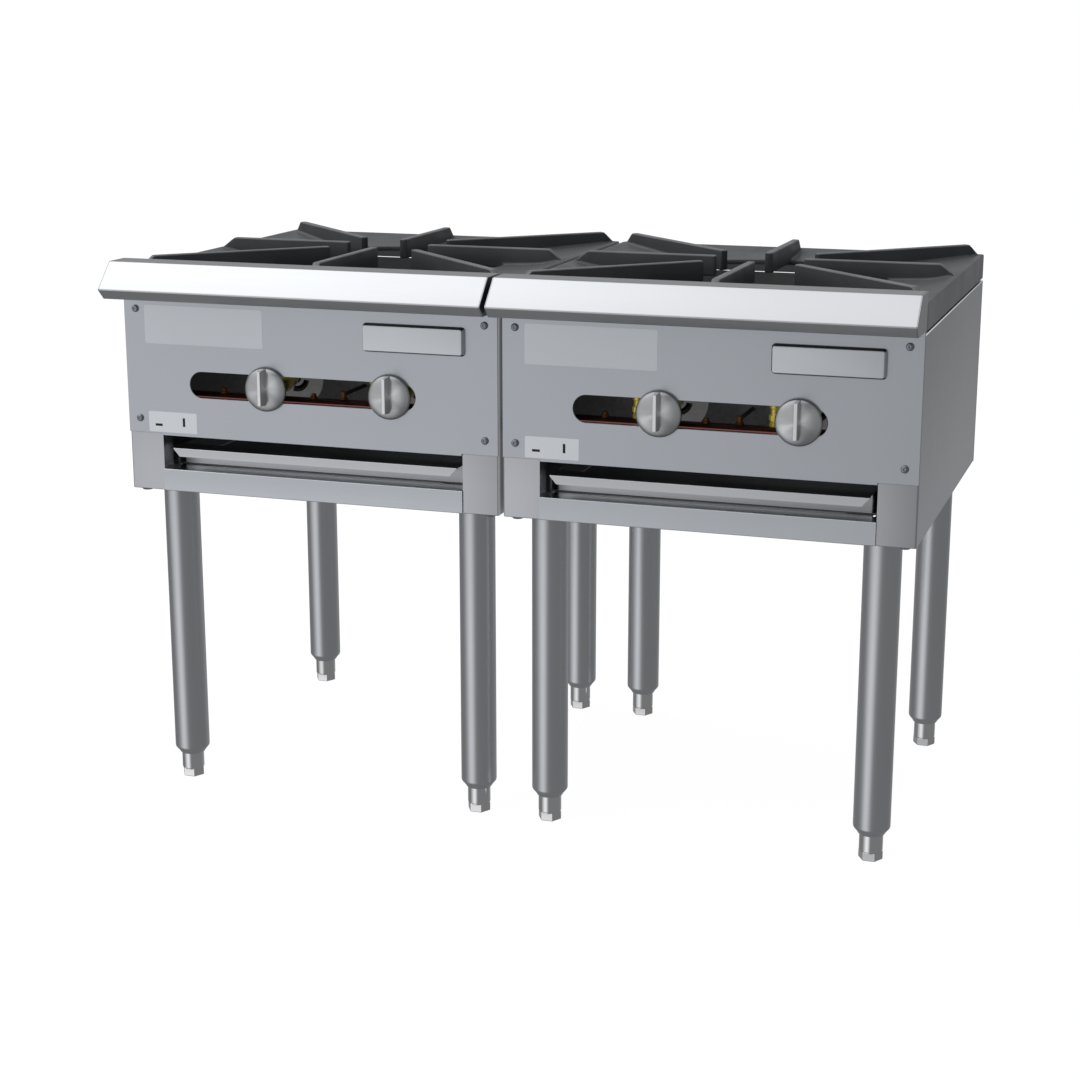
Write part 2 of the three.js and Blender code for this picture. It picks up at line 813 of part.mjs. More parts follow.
// A disc with a middle hole for the orifice and two curved air windows.
function airShutter(x) {
  const back = shutterFront + shutterThickness;
  const disc = (radius, over) => rod([x, shutterFront - over, slotZ], [x, back + over, slotZ], radius);
  const window = (turn) => {
    const reach = shutterRadius * 2;
    const corner = (angle) => [x + reach * Math.cos(angle), slotZ + reach * Math.sin(angle)];
    const wedge = [[x, slotZ], corner(turn), corner(turn + shutterWindowAngle)];
    const sector = hull(wedge.flatMap(([px, pz]) => [[px, shutterFront - 1, pz], [px, back + 1, pz]]));
    return disc(shutterWindowOuter, 1).subtract(disc(shutterWindowInner, 2)).intersect(sector);
  };
  const windows = join(window(shutterWindowTurn), window(shutterWindowTurn + Math.PI));
  return cut(disc(shutterRadius, 0), disc(orificeRadius + 2, 1), windows);
}

function knob(x) {
  const back = -knobStandOff;
  const rim = back - knobSkirt;
  const domeSteps = 4;
  const dome = Array.from({ length: domeSteps }, (_, step) => {
    const angle = (step / domeSteps) * (Math.PI / 2);
    return [knobRadius * Math.cos(angle), rim - knobDome * Math.sin(angle)];
  });
  const outline = [[0, rim - knobDome], ...dome.reverse(), [knobRadius, back], [0, back]];
  const cap = turnedAlongY(outline, x, slotZ, knobSides);
  const front = rim - knobDome - ridgeStandOff;
  const reaches = [-ridgeLowerReach, knobRadius - 1];
  const ridge = hull([-1, 1].flatMap((side) => reaches.flatMap((reach) => [
    [x + (side * ridgeWidth) / 2, rim, slotZ + reach],
    [x + (side * ridgeWidth) / 2, front, slotZ + reach - Math.sign(reach) * ridgeTaper],
  ])));
  const stem = rod([x, rim, slotZ], [x, valveFace - fit, slotZ], stemRadius, stemRadius, fineSides);
  return join(cap, ridge, stem);
}

function pilot() {
  const tubeZ = manifoldTop + pilotTapHeight - pilotTapDrop;
  const top = burnerTop - pilotTopDrop;
  const bend = [pilotX, pilotY, tubeZ];
  const tap = [pilotX, manifoldY, manifoldTop + fit];
  return join(
    rod(tap, [pilotX, manifoldY, manifoldTop + pilotTapHeight], pilotTapRadius),
    rod([pilotX, manifoldY, tubeZ], bend, pilotRadius, pilotRadius, fineSides),
    ball(bend, pilotRadius, fineSides),
    rod(bend, [pilotX, pilotY, top], pilotRadius, pilotRadius, fineSides),
    rod([pilotX, pilotY, top - pilotTipLength], [pilotX, pilotY, top], pilotTipRadius, pilotTipRadius, 6),
  );
}

// ---------------------------------------------------------------- pieces shared by both sections

// The manifold runs through both sections; x is measured from the middle of the whole range.
function gasManifold() {
  const inletAxis = sectionPitch / 2 + inletX;
  const rightEnd = inletAxis - fittingRadius - fit;
  const leftEnd = -inletAxis;
  const at = (x) => [x, manifoldY, manifoldZ];
  return join(
    rod(at(leftEnd), at(rightEnd), pipeRadius),
    rod(at(leftEnd), at(leftEnd + fittingRadius), fittingRadius, fittingRadius, 6),
  );
}

function gasInletPipe() {
  const x = sectionPitch / 2 + inletX;
  const elbow = [x, manifoldY, manifoldZ];
  return join(
    rod([x - fittingRadius, manifoldY, manifoldZ], elbow, fittingRadius),
    ball(elbow, fittingRadius),
    rod(elbow, [x, manifoldY + fittingRadius + inletCollar, manifoldZ], fittingRadius),
    rod(elbow, [x, bodyDepth - fit, manifoldZ], pipeRadius),
  );
}

function joiningBolt(y) {
  const at = (x) => [x, y, boltZ];
  const seat = sectionGap / 2 + sheet + fit;
  return join(
    rod(at(-boltShank), at(boltShank), boltRadius, boltRadius, fineSides),
    rod(at(-seat - boltHeadLength), at(-seat), boltHeadRadius, boltHeadRadius, 6),
    rod(at(seat), at(seat + boltHeadLength), boltHeadRadius, boltHeadRadius, 6),
    rod(at(-sectionGap / 2 + fit), at(sectionGap / 2 - fit), collarRadius, collarRadius, fineSides),
  );
}

// ---------------------------------------------------------------- assembly

const range = new THREE.Group();

for (const [word, hand] of [['left', -1], ['right', 1]]) {
  const section = new THREE.Group();
  section.position.set((hand * sectionPitch) / 2, panelFaceY, 0);
  const add = (name, piece, finish) => section.add(named(`${word}_${name}`, piece, finishes[finish]));

  add('top_grate', topGrate(), 'castIron');
  add('front_rail', frontRail(), 'stainless');
  add('control_panel', controlPanel(), 'stainless');
  add('name_plate', namePlate(), 'plate');
  add('lower_front_bar', lowerFrontBar(), 'stainless');
  add('outer_side_panel', sidePanel(hand, false), 'stainless');
  add('inner_side_panel', sidePanel(-hand, true), 'stainless');
  add('back_panel', backPanel(hand > 0), 'galvanised');
  add('base_frame', baseFrame(), 'galvanised');
  add('drip_tray', dripTray(), 'galvanised');
  add('outer_ring_burner', outerBurner(), 'castIron');
  add('inner_ring_burner', innerBurner(), 'castIron');
  add('burner_cradle', burnerCradle(hand > 0), 'aluminised');
  add('pilot', pilot(), 'brass');

  for (const [burner, x] of Object.entries(knobXs)) {
    add(`${burner}_valve`, gasValve(x), 'brass');
    add(`${burner}_knob`, knob(x), 'chrome');
    add(`${burner}_air_shutter`, airShutter(x), 'aluminised');
  }

  for (const [place, y] of [['front', frontLegY], ['back', backLegY]]) {
    for (const [side, direction] of [['outer', hand], ['inner', -hand]]) {
      add(`${place}_${side}_leg`, leg(direction, y), 'leg');
      add(`${place}_${side}_foot`, foot(direction, y), 'leg');
    }
  }
  range.add(section);
}

const shared = new THREE.Group();
shared.position.set(0, panelFaceY, 0);
shared.add(named('gas_manifold', gasManifold(), finishes.pipe));
shared.add(named('gas_inlet_pipe', gasInletPipe(), finishes.pipe));
shared.add(named('front_joining_bolt', joiningBolt(frontBoltY), finishes.bolt));
shared.add(named('back_joining_bolt', joiningBolt(backBoltY), finishes.bolt));
range.add(shared);

export default range;
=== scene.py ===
# Stock pot range: the visual model, dressed on the frame's pieces.
# Sizes are in millimetres inside one section: X from its middle, Y from its control panel's face,
# Z from the floor. They become metres in the shared frame when an object is made.
import math

import bmesh
import bpy
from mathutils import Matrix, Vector


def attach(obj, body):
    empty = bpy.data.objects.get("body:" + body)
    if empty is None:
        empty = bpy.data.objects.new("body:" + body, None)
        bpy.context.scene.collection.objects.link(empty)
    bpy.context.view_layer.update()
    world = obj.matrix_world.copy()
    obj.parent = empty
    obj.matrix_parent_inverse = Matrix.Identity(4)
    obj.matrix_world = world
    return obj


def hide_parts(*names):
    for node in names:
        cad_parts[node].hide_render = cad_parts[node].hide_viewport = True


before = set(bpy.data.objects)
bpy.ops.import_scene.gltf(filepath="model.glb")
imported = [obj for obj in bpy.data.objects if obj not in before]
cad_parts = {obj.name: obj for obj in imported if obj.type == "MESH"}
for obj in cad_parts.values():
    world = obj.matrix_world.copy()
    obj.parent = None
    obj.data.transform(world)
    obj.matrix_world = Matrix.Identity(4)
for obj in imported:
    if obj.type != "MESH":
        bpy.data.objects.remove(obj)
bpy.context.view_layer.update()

MM = 0.001
ROOT = "range_frame"

# The two sections: the side of the range that each is on, and where a section's own origin lies.
HAND = {"left": -1, "right": 1}
PITCH = 231.2
SETBACK = 205.15

# A section's body and its sheet.
HALF = 228.6
BODY_BOTTOM = 367.4
BODY_TOP = 592.35
BODY_BACK = 467.9
SHEET = 1.5

# The control panel, and the tray opening under it.
PANEL_TOP = 595.9
PANEL_BOTTOM = 435.4
OPENING_HALF = 185.7
OPENING_TOP = 433.1
SHELF_TOP = 393.4

# The drip tray.
TRAY_HALF = 177.0
TRAY_FRONT = 34.0
TRAY_BACK = 434.0
TRAY_BOTTOM = 394.9
TRAY_TOP = 417.5
TRAY_SHEET = 1.2

# The knobs and the gas train behind their slot.
SLOT_Z = 495.0
SLOT_ENDS = (-147.6, 131.4)
SLOT_RADIUS = 15.2
KNOBS = {"inner_ring": -50.8, "outer_ring": 100.9}
MANIFOLD_Y = 35.0
MANIFOLD_Z = 468.2
ELBOW_REACH = 33.0

# The legs, out from the middle and back from the panel's face.
LEG_X = 187.4
LEG_Y = {"front": 43.4, "back": 439.5}

# The grate, its round mouth and its fins.
CENTRE_Y = 247.0
MOUTH = 150.0
RIM_TOP = 624.4
SKIRT_BOTTOM = 595.1
SKIRT_WALL = 7.0
GRATE_FRONT = 7.0
FIN_TOP = 637.0
FIN_BOTTOM = 613.0
FIN_HALF = 4.75
CROWN_HALF = 4.45
FIN_END = 14.5
DIAGONAL = math.radians(44.6)

# -------- mesh code


def loft(rings, wrap=False, caps=True):
    """Faces between rings of equal length; wrap joins the last ring to the first."""
    count = len(rings[0])
    verts = [p for ring in rings for p in ring]
    faces = []
    spans = len(rings) if wrap else len(rings) - 1
    for i in range(spans):
        a = i * count
        b = ((i + 1) % len(rings)) * count
        for k in range(count):
            n = (k + 1) % count
            faces.append((a + k, a + n, b + n, b + k))
    if caps and not wrap:
        faces.append(tuple(reversed(range(count))))
        faces.append(tuple(range((len(rings) - 1) * count, len(rings) * count)))
    return verts, faces


def box(x0, x1, y0, y1, z0, z1):
    low = [(x0, y0, z0), (x1, y0, z0), (x1, y1, z0), (x0, y1, z0)]
    high = [(x, y, z1) for x, y, z in low]
    return loft([low, high])


def side_box(side, near, far, y0, y1, z0, z1):
    """A box on one side (-1 or 1) of the section's middle, from near to far out."""
    x0, x1 = sorted((side * near, side * far))
    return box(x0, x1, y0, y1, z0, z1)


def spread(start, end, count):
    """Evenly spaced values after start, the last of them at end."""
    return [start + (end - start) * k / count for k in range(1, count + 1)]


def circle(radius, sides, turn=0.0):
    step = 2 * math.pi / sides
    return [(radius * math.cos(turn + k * step), radius * math.sin(turn + k * step)) for k in range(sides)]


def lathe(profile, centre, axis, sides, turn=0.0):
    """A profile of (radius, height) pairs turned about an axis through centre."""
    cx, cy, cz = centre
    rings = []
    for radius, height in profile:
        pts = circle(max(radius, 0.0001), sides, turn)
        if axis == "z":
            rings.append([(cx + u, cy + v, height) for u, v in pts])
        elif axis == "y":
            rings.append([(cx + u, height, cz + v) for u, v in pts])
        else:
            rings.append([(height, cy + u, cz + v) for u, v in pts])
    return loft(rings)


def tube(path, radius, sides):
    """A round tube along a path of points."""
    pts = [Vector(p) for p in path]
    rings = []
    side = None
    for i, p in enumerate(pts):
        ahead = (pts[min(i + 1, len(pts) - 1)] - pts[max(i - 1, 0)]).normalized()
        if side is None:
            seed = Vector((0, 0, 1)) if abs(ahead.z) < 0.9 else Vector((1, 0, 0))
            side = ahead.cross(seed).normalized()
        side = (side - ahead * side.dot(ahead)).normalized()
        other = ahead.cross(side)
        rings.append([tuple(p + side * u + other * v) for u, v in circle(radius, sides)])
    return loft(rings)


def fillet(points, radii, steps=5, closed=False):
    """A 2-D path with its corners rounded; the two ends of an open path stay as they are."""
    out = []
    count = len(points)
    for i, (x, y) in enumerate(points):
        r = radii[i] if isinstance(radii, (list, tuple)) else radii
        if r <= 0 or (not closed and i in (0, count - 1)):
            out.append((x, y))
            continue
        p = Vector((x, y))
        a = (Vector(points[i - 1]) - p).normalized()
        b = (Vector(points[(i + 1) % count]) - p).normalized()
        half = math.acos(max(-1.0, min(1.0, a.dot(b)))) / 2
        reach = r / math.tan(half)
        middle = p + (a + b).normalized() * (r / math.sin(half))
        start = p + a * reach - middle
        end = p + b * reach - middle
        sweep = start.angle_signed(end)
        for k in range(steps + 1):
            t = -sweep * k / steps
            c, s = math.cos(t), math.sin(t)
            out.append((middle.x + start.x * c - start.y * s, middle.y + start.x * s + start.y * c))
    return out


def offset(path, distance, closed=False):
    """A 2-D path moved sideways, to its left for a positive distance."""
    out = []
    count = len(path)
    for i in range(count):
        here = Vector(path[i])
        before = Vector(path[i - 1]) if closed or i > 0 else None
        after = Vector(path[(i + 1) % count]) if closed or i < count - 1 else None
        normals = []
        for a, b in ((before, here), (here, after)):
            if a is not None and b is not None and (b - a).length > 1e-6:
                d = (b - a).normalized()
                normals.append(Vector((-d.y, d.x)))
        n = normals[0] if len(normals) == 1 else (normals[0] + normals[1]).normalized()
        scale = 1.0 if len(normals) == 1 else 1.0 / max(0.3, n.dot(normals[0]))
        out.append(tuple(here + n * distance * scale))
    return out


def folded(path, thickness):
    """The outline of a folded sheet: a path, and back along the same path moved by the thickness."""
    return path + list(reversed(offset(path, thickness)))


def rounded(x0, x1, y0, y1, radius):
    """A closed rectangle with rounded corners."""
    return fillet([(x0, y0), (x1, y0), (x1, y1), (x0, y1)], radius, closed=True)


def upright(loop, y):
    """An (x, z) loop at a depth."""
    return [(x, y, z) for x, z in loop]


def along_x(outline, x0, x1, edge=0.0):
    """A closed (y, z) outline drawn out along X, with eased ends."""
    def ring(x, pts):
        return [(x, y, z) for y, z in pts]
    if edge <= 0:
        return loft([ring(x0, outline), ring(x1, outline)])
    inner = offset(outline, edge, closed=True)
    return loft([ring(x0, inner), ring(x0 + edge, outline), ring(x1 - edge, outline), ring(x1, inner)])


def make(name, parts, word, material, stands_for=(), body=ROOT, bevel=0.0, angle=32, segments=2):
    """An object from (vertices, faces) parts, riding on a body and standing for CAD nodes.

    The section's word begins its name and those of the nodes; it is empty for what both sections share.
    """
    if word:
        name = f"{word}_{name}"
        stands_for = [f"{word}_{node}" for node in stands_for]
    bm = bmesh.new()
    for verts, faces in parts:
        handles = [bm.verts.new((x * MM, y * MM, z * MM)) for x, y, z in verts]
        for face in faces:
            bm.faces.new([handles[i] for i in face])
    bmesh.ops.remove_doubles(bm, verts=bm.verts, dist=1e-6)
    bmesh.ops.recalc_face_normals(bm, faces=bm.faces)
    mesh = bpy.data.meshes.new(name)
    bm.to_mesh(mesh)
    bm.free()
    mesh.shade_smooth()
    mesh.set_sharp_from_angle(angle=math.radians(angle))
    obj = bpy.data.objects.new(name, mesh)
    bpy.context.scene.collection.objects.link(obj)
    obj.location = (HAND.get(word, 0) * PITCH * MM, -SETBACK * MM, 0)
    mesh.materials.append(material)
    if bevel > 0:
        ease(obj, bevel, angle, segments)
    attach(obj, body)
    if stands_for:
        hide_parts(*stands_for)
    return obj


def ease(obj, width, angle, segments=2):
    """Broken edges, and shading that keeps flat faces flat."""
    mod = obj.modifiers.new("edges", "BEVEL")
    mod.width = width * MM
    mod.segments = segments
    mod.limit_method = "ANGLE"
    mod.angle_limit = math.radians(angle)
    mod.use_clamp_overlap = True
    weighted = obj.modifiers.new("normals", "WEIGHTED_NORMAL")
    weighted.keep_sharp = True
    weighted.weight = 100


def refinish(obj, material, test):
    """Another finish on the faces that a test of (normal, middle in mm) picks."""
    index = len(obj.data.materials)
    obj.data.materials.append(material)
    for face in obj.data.polygons:
        if test(face.normal, face.center / MM):
            face.material_index = index


# -------- materials


class Nodes:
    """A node tree with short calls to add and link its nodes."""

    def __init__(self, tree):
        self.tree = tree

    def node(self, kind, **settings):
        made = self.tree.nodes.new(kind)
        for key, value in settings.items():
            if key in made.inputs:
                made.inputs[key].default_value = value
            else:
                setattr(made, key, value)
        return made

    def link(self, a, b):
        self.tree.links.new(a, b)

    def ranged(self, value, low, high, from_low=0.3, from_high=0.7, curve="LINEAR"):
        """The value's own range, clamped and stretched to one from low to high."""
        ends = {"From Min": from_low, "From Max": from_high, "To Min": low, "To Max": high}
        node = self.node("ShaderNodeMapRange", interpolation_type=curve, **ends)
        self.link(value, node.inputs["Value"])
        return node.outputs["Result"]


class Shader(Nodes):
    """A Principled material."""

    def __init__(self, name, colour, roughness, metallic=0.0):
        self.material = bpy.data.materials.new(name)
        self.material.use_nodes = True
        super().__init__(self.material.node_tree)
        self.principled = self.tree.nodes["Principled BSDF"]
        self.principled.inputs["Base Color"].default_value = (*colour, 1)
        self.principled.inputs["Roughness"].default_value = roughness
        self.principled.inputs["Metallic"].default_value = metallic
        self.coords = self.node("ShaderNodeTexCoord")
        self.height = None

    def place(self, axis):
        """One coordinate in the object's own frame, in metres."""
        split = self.node("ShaderNodeSeparateXYZ")
        self.link(self.coords.outputs["Object"], split.inputs[0])
        return split.outputs[axis]

    def noise(self, scale, detail, rough, stretch=(1, 1, 1), distortion=0.0):
        mapping = self.node("ShaderNodeMapping", Scale=stretch)
        self.link(self.coords.outputs["Object"], mapping.inputs["Vector"])
        look = {"Scale": scale, "Detail": detail, "Roughness": rough, "Distortion": distortion}
        tex = self.node("ShaderNodeTexNoise", **look)
        self.link(mapping.outputs["Vector"], tex.inputs["Vector"])
        return tex.outputs["Fac"]

    def tint(self, value, dark, light, low=0.3, high=0.7):
        ramp = self.node("ShaderNodeValToRGB")
        for element, position, colour in zip(ramp.color_ramp.elements, (low, high), (dark, light)):
            element.position = position
            element.color = (*colour, 1)
        self.link(value, ramp.inputs["Fac"])
        return ramp.outputs["Color"]

    def multiply(self, a, b):
        """Two colours multiplied."""
        node = self.node("ShaderNodeMix", data_type="RGBA", blend_type="MULTIPLY")
        node.inputs[0].default_value = 1.0
        self.link(a, node.inputs[6])
        self.link(b, node.inputs[7])
        return node.outputs[2]

    def bump(self, value, strength, distance):
        node = self.node("ShaderNodeBump", Strength=strength, Distance=distance)
        self.link(value, node.inputs["Height"])
        if self.height is not None:
            self.link(self.height, node.inputs["Normal"])
        self.height = node.outputs["Normal"]

    def glow(self, colour, strength, slope=None):
        """A weak light of its own, for surfaces deep in the body that the studio hardly reaches.

        A slope (axis, low, high, other) turns the strength into the other one on the way from low
        to high along an axis, in metres.
        """
        self.principled.inputs["Emission Color"].default_value = (*colour, 1)
        self.principled.inputs["Emission Strength"].default_value = strength
        if slope:
            axis, low, high, other = slope
            sloped = self.ranged(self.place(axis), strength, other, low, high)
            self.link(sloped, self.principled.inputs["Emission Strength"])

    def done(self, colour, roughness):
        self.link(colour, self.principled.inputs["Base Color"])
        self.link(roughness, self.principled.inputs["Roughness"])
        self.link(self.height, self.principled.inputs["Normal"])
        return self.material


def shade(colour, factor):
    return tuple(min(1.0, c * factor) for c in colour)


WHITE = (1.0, 1.0, 1.0)
# Noise scales that draw its grains out into streaks along one axis.
STREAKS = {"x": (6, 700, 700), "y": (700, 6, 700)}


def brushed(name, colour, roughness, axis, streak=0.015, fade=None, slope=None):
    """Rolled and brushed sheet: fine streaks along one axis, and faint handling marks.

    A fade (low, high, factor) paints shade by height: it multiplies the colour by 1 at the low height and by
    the factor at the high one, in metres. A slope (strength, axis, low, high, other) gives the sheet a sloped
    glow of painted light.
    """
    s = Shader(name, colour, roughness, 1.0)
    # Painted light: a glow that changes along an axis.
    if slope:
        s.glow((0.98, 0.99, 1.0), slope[0], slope[1:])
    grain = s.noise(1.0, 5.0, 0.6, STREAKS[axis])
    smudge = s.noise(7.0, 3.0, 0.5, distortion=0.4)
    base = s.tint(grain, shade(colour, 1 - streak), shade(colour, 1 + streak))
    coat = s.multiply(base, s.tint(smudge, shade(WHITE, 0.985), WHITE, 0.35, 0.65))
    # Painted shade: the colour darkens with height.
    if fade:
        low, high, factor = fade
        height = s.ranged(s.place("Z"), 0.0, 1.0, low, high)
        coat = s.multiply(coat, s.tint(height, WHITE, shade(WHITE, factor), 0.0, 1.0))
    rough = s.ranged(grain, roughness - 0.03, roughness + 0.03)
    s.bump(grain, 0.05, 0.00003)
    return s.done(coat, rough)


def iron(name, dark, light, roughness, grit=1.0, glow=0.0):
    """Sand-cast iron: a pebbled skin in patches from dark to light, the light ones a little smoother."""
    s = Shader(name, dark, roughness)
    s.glow(light, glow)
    pebble = s.noise(520.0, 3.0, 0.6)
    sand = s.noise(1700.0, 2.0, 0.5)
    patch = s.noise(14.0, 4.0, 0.6, distortion=0.6)
    base = s.tint(patch, dark, light, 0.32, 0.72)
    speck = s.tint(sand, shade(WHITE, 0.86), WHITE, 0.35, 0.6)
    coat = s.multiply(base, speck)
    rough = s.ranged(patch, roughness + 0.07, roughness - 0.07)
    s.bump(pebble, 0.25 * grit, 0.0004)
    s.bump(sand, 0.12 * grit, 0.0001)
    return s.done(coat, rough)


def plated(name, colour, roughness, metallic=1.0, cloudy=0.02, glow=0.0, slope=None):
    """Satin plating: very fine grain, slightly cloudy."""
    s = Shader(name, colour, roughness, metallic)
    s.glow(colour, glow, slope)
    cloud = s.noise(12.0, 3.0, 0.55)
    grain = s.noise(2400.0, 2.0, 0.5)
    base = s.tint(cloud, shade(colour, 1 - cloudy), shade(colour, 1 + cloudy / 2), 0.35, 0.65)
    rough = s.ranged(cloud, roughness + cloudy / 2, roughness - cloudy / 2, 0.35, 0.65)
    s.bump(grain, 0.02, 0.00002)
    return s.done(base, rough)


def coated_sheet(name, colour, roughness, flake=60.0, glow=0.0):
    """Zinc or aluminium coated sheet with a faint crystal pattern."""
    s = Shader(name, colour, roughness, 0.85)
    s.glow(colour, glow)
    cells = s.node("ShaderNodeTexVoronoi", Scale=flake)
    s.link(s.coords.outputs["Object"], cells.inputs["Vector"])
    tone = s.node("ShaderNodeSeparateColor")
    s.link(cells.outputs["Color"], tone.inputs["Color"])
    base = s.tint(tone.outputs["Red"], shade(colour, 0.86), shade(colour, 1.08), 0.0, 1.0)
    cloud = s.noise(9.0, 4.0, 0.6)
    veil = s.tint(cloud, (0.85, 0.85, 0.86), WHITE, 0.35, 0.65)
    rough = s.ranged(tone.outputs["Green"], roughness - 0.06, roughness + 0.08, 0.0, 1.0)
    s.bump(cloud, 0.05, 0.0002)
    return s.done(s.multiply(base, veil), rough)


def painted(name, colour, roughness, painted_highlight_band=None):
    """Matt paint with thin spots; the last argument (low, high) paints a highlight: a glowing line between
    two heights in metres.
    """
    s = Shader(name, colour, roughness, 0.1)
    if painted_highlight_band:
        low, high = painted_highlight_band
        # Painted highlight: an emission line between the two heights.
        edge = 0.0008
        height = s.place("Z")
        line = s.node("ShaderNodeMath", operation="MULTIPLY")
        s.link(s.ranged(height, 0.0, 1.0, low, low + edge), line.inputs[0])
        s.link(s.ranged(height, 1.0, 0.0, high - edge, high), line.inputs[1])
        s.glow((0.20, 0.075, 0.07), 1.0)
        s.link(line.outputs[0], s.principled.inputs["Emission Strength"])
    wear = s.noise(90.0, 5.0, 0.65)
    base = s.tint(wear, shade(colour, 0.72), shade(colour, 1.25), 0.35, 0.65)
    rough = s.ranged(wear, roughness - 0.12, roughness + 0.1)
    s.bump(wear, 0.12, 0.0002)
    return s.done(base, rough)


# Painted highlight and shade round the turned cap's face: how bright it is, in turns from nine o'clock by way
# of six.
PAINTED_RAYS = [(0.05, 0.82), (0.15, 0.56), (0.26, 0.48), (0.38, 0.60), (0.50, 0.88), (0.60, 1.0), (0.69, 0.74),
        (0.76, 0.55), (0.86, 0.60)]
PAINTED_RAY_SEAM = 0.66
# Where the painted shade on its rim begins and is darkest, out from the middle in widths of the cap.
PAINTED_RIM_SHADE = (0.455, 0.495)


def spun(name, colour, roughness, anisotropy):
    """A cap turned on a lathe: stretched highlights under painted rays of highlight and shade, and painted
    shade on its rim.
    """
    s = Shader(name, colour, roughness, 1.0)
    around_axis = s.node("ShaderNodeTangent", direction_type="RADIAL", axis="Y")
    s.link(around_axis.outputs["Tangent"], s.principled.inputs["Tangent"])
    s.principled.inputs["Anisotropic"].default_value = anisotropy
    s.principled.inputs["Anisotropic Rotation"].default_value = 0.25
    cloud = s.noise(60.0, 3.0, 0.5)
    base = s.tint(cloud, shade(colour, 0.96), shade(colour, 1.02), 0.35, 0.65)
    middle = s.node("ShaderNodeVectorMath", operation="SUBTRACT")
    s.link(s.coords.outputs["Generated"], middle.inputs[0])
    middle.inputs[1].default_value = (0.5, 0.5, 0.5)
    split = s.node("ShaderNodeSeparateXYZ")
    s.link(middle.outputs[0], split.inputs[0])
    face = s.node("ShaderNodeCombineXYZ")
    s.link(split.outputs["X"], face.inputs["X"])
    s.link(split.outputs["Z"], face.inputs["Y"])
    turn = s.node("ShaderNodeTexGradient", gradient_type="RADIAL")
    s.link(face.outputs[0], turn.inputs[0])
    # Painted highlight and shade in rays round the face.
    rays = s.node("ShaderNodeValToRGB")
    rays.color_ramp.interpolation = "EASE"
    for end in rays.color_ramp.elements:
        end.color = (PAINTED_RAY_SEAM, PAINTED_RAY_SEAM, PAINTED_RAY_SEAM, 1)
    for place, tone in PAINTED_RAYS:
        rays.color_ramp.elements.new(place).color = (tone, tone, tone, 1)
    s.link(turn.outputs["Fac"], rays.inputs["Fac"])
    base = s.multiply(base, rays.outputs["Color"])
    # Painted shade on the rim.
    reach = s.node("ShaderNodeVectorMath", operation="LENGTH")
    s.link(face.outputs[0], reach.inputs[0])
    rim = s.ranged(reach.outputs["Value"], 0.0, 1.0, *PAINTED_RIM_SHADE)
    base = s.multiply(base, s.tint(rim, WHITE, shade(WHITE, 0.5), 0.0, 1.0))
    s.bump(s.noise(1800.0, 2.0, 0.5), 0.02, 0.00002)
    return s.done(base, s.ranged(cloud, roughness + 0.02, roughness - 0.02, 0.35, 0.65))


STEEL = (0.615, 0.645, 0.69)
steel_x = brushed("stainless_brushed_across", STEEL, 0.36, "x")
steel_bar = brushed("stainless_bar", (0.68, 0.71, 0.755), 0.36, "x")
# Painted light and shade: the side walls get a lighter copy of the stainless than their front flanges, and
# both fade darker towards the top.
steel_y = brushed("stainless_brushed_deep", (0.75, 0.76, 0.795), 0.36, "y", fade=(0.40, 0.58, 0.71))
steel_flange = brushed("stainless_flange", (0.63, 0.64, 0.675), 0.36, "y", fade=(0.40, 0.58, 0.80))
# Painted light in the seam between the sections: a glow that fades going back.
steel_seam_painted_light = brushed("stainless_in_the_seam_painted_light", (0.5, 0.51, 0.53), 0.36, "y",
                     slope=(0.17, "Y", 0.004, 0.009, 0.04))
# Painted light: a lighter, glossier copy of the bar's stainless for its upward faces.
steel_shelf_painted_light = brushed("stainless_shelf_painted_light", (0.74, 0.755, 0.78), 0.2, "x")
steel_rail = brushed("stainless_rail", (0.67, 0.68, 0.697), 0.30, "x", 0.01)
# Painted shade: a darker copy of the rail's stainless for its end plates.
steel_end_painted_shade = brushed("stainless_rail_end_painted_shade", (0.36, 0.37, 0.39), 0.32, "y", 0.01)
# Painted highlight along the side panels' top edge: a near-white copy of the stainless that glows.
steel_hem_painted_highlight = brushed("stainless_hem_painted_highlight", (0.95, 0.96, 0.98), 0.3, "y", 0.01, slope=(0.35, "Y", 0.0, 0.468, 0.15))
tray_steel = brushed("tray_sheet", (0.72, 0.735, 0.755), 0.34, "x", 0.02)
tray_wall = brushed("tray_front_wall", (0.72, 0.73, 0.75), 0.36, "x", 0.02)
# Painted shade: a dark copy of the tray's steel for its inside and for the low edge behind it.
tray_painted_shade = brushed("tray_painted_shade", (0.16, 0.165, 0.175), 0.4, "x", 0.02)
grate_iron = iron("grate_casting", (0.14, 0.144, 0.153), (0.178, 0.182, 0.192), 0.42, 0.5)
# Painted light: a lighter copy of the casting's iron for the outer faces of the skirt's sides.
skirt_iron_painted_light = iron("grate_skirt_painted_light", (0.265, 0.27, 0.287), (0.295, 0.30, 0.317), 0.42, 0.5)
# Painted light: the casting's iron with a glow, for the inside of the back skirt.
inner_iron_painted_light = iron("grate_inside_painted_light", (0.14, 0.144, 0.153), (0.178, 0.182, 0.192), 0.42, 0.5, 0.2)
# Painted shade: a darker copy of the casting's iron for the fins' sides.
fin_side_iron_painted_shade = iron("grate_fin_sides_painted_shade", (0.056, 0.059, 0.064), (0.074, 0.078, 0.084), 0.45, 0.6)
# A lighter, smoother copy of the casting's iron for the fins' upward faces.
fin_top_iron = iron("grate_fin_tops", (0.22, 0.225, 0.235), (0.29, 0.295, 0.305), 0.36, 0.4)
burner_iron = iron("burner_casting", (0.06, 0.055, 0.052), (0.13, 0.115, 0.105), 0.7, 1.4)
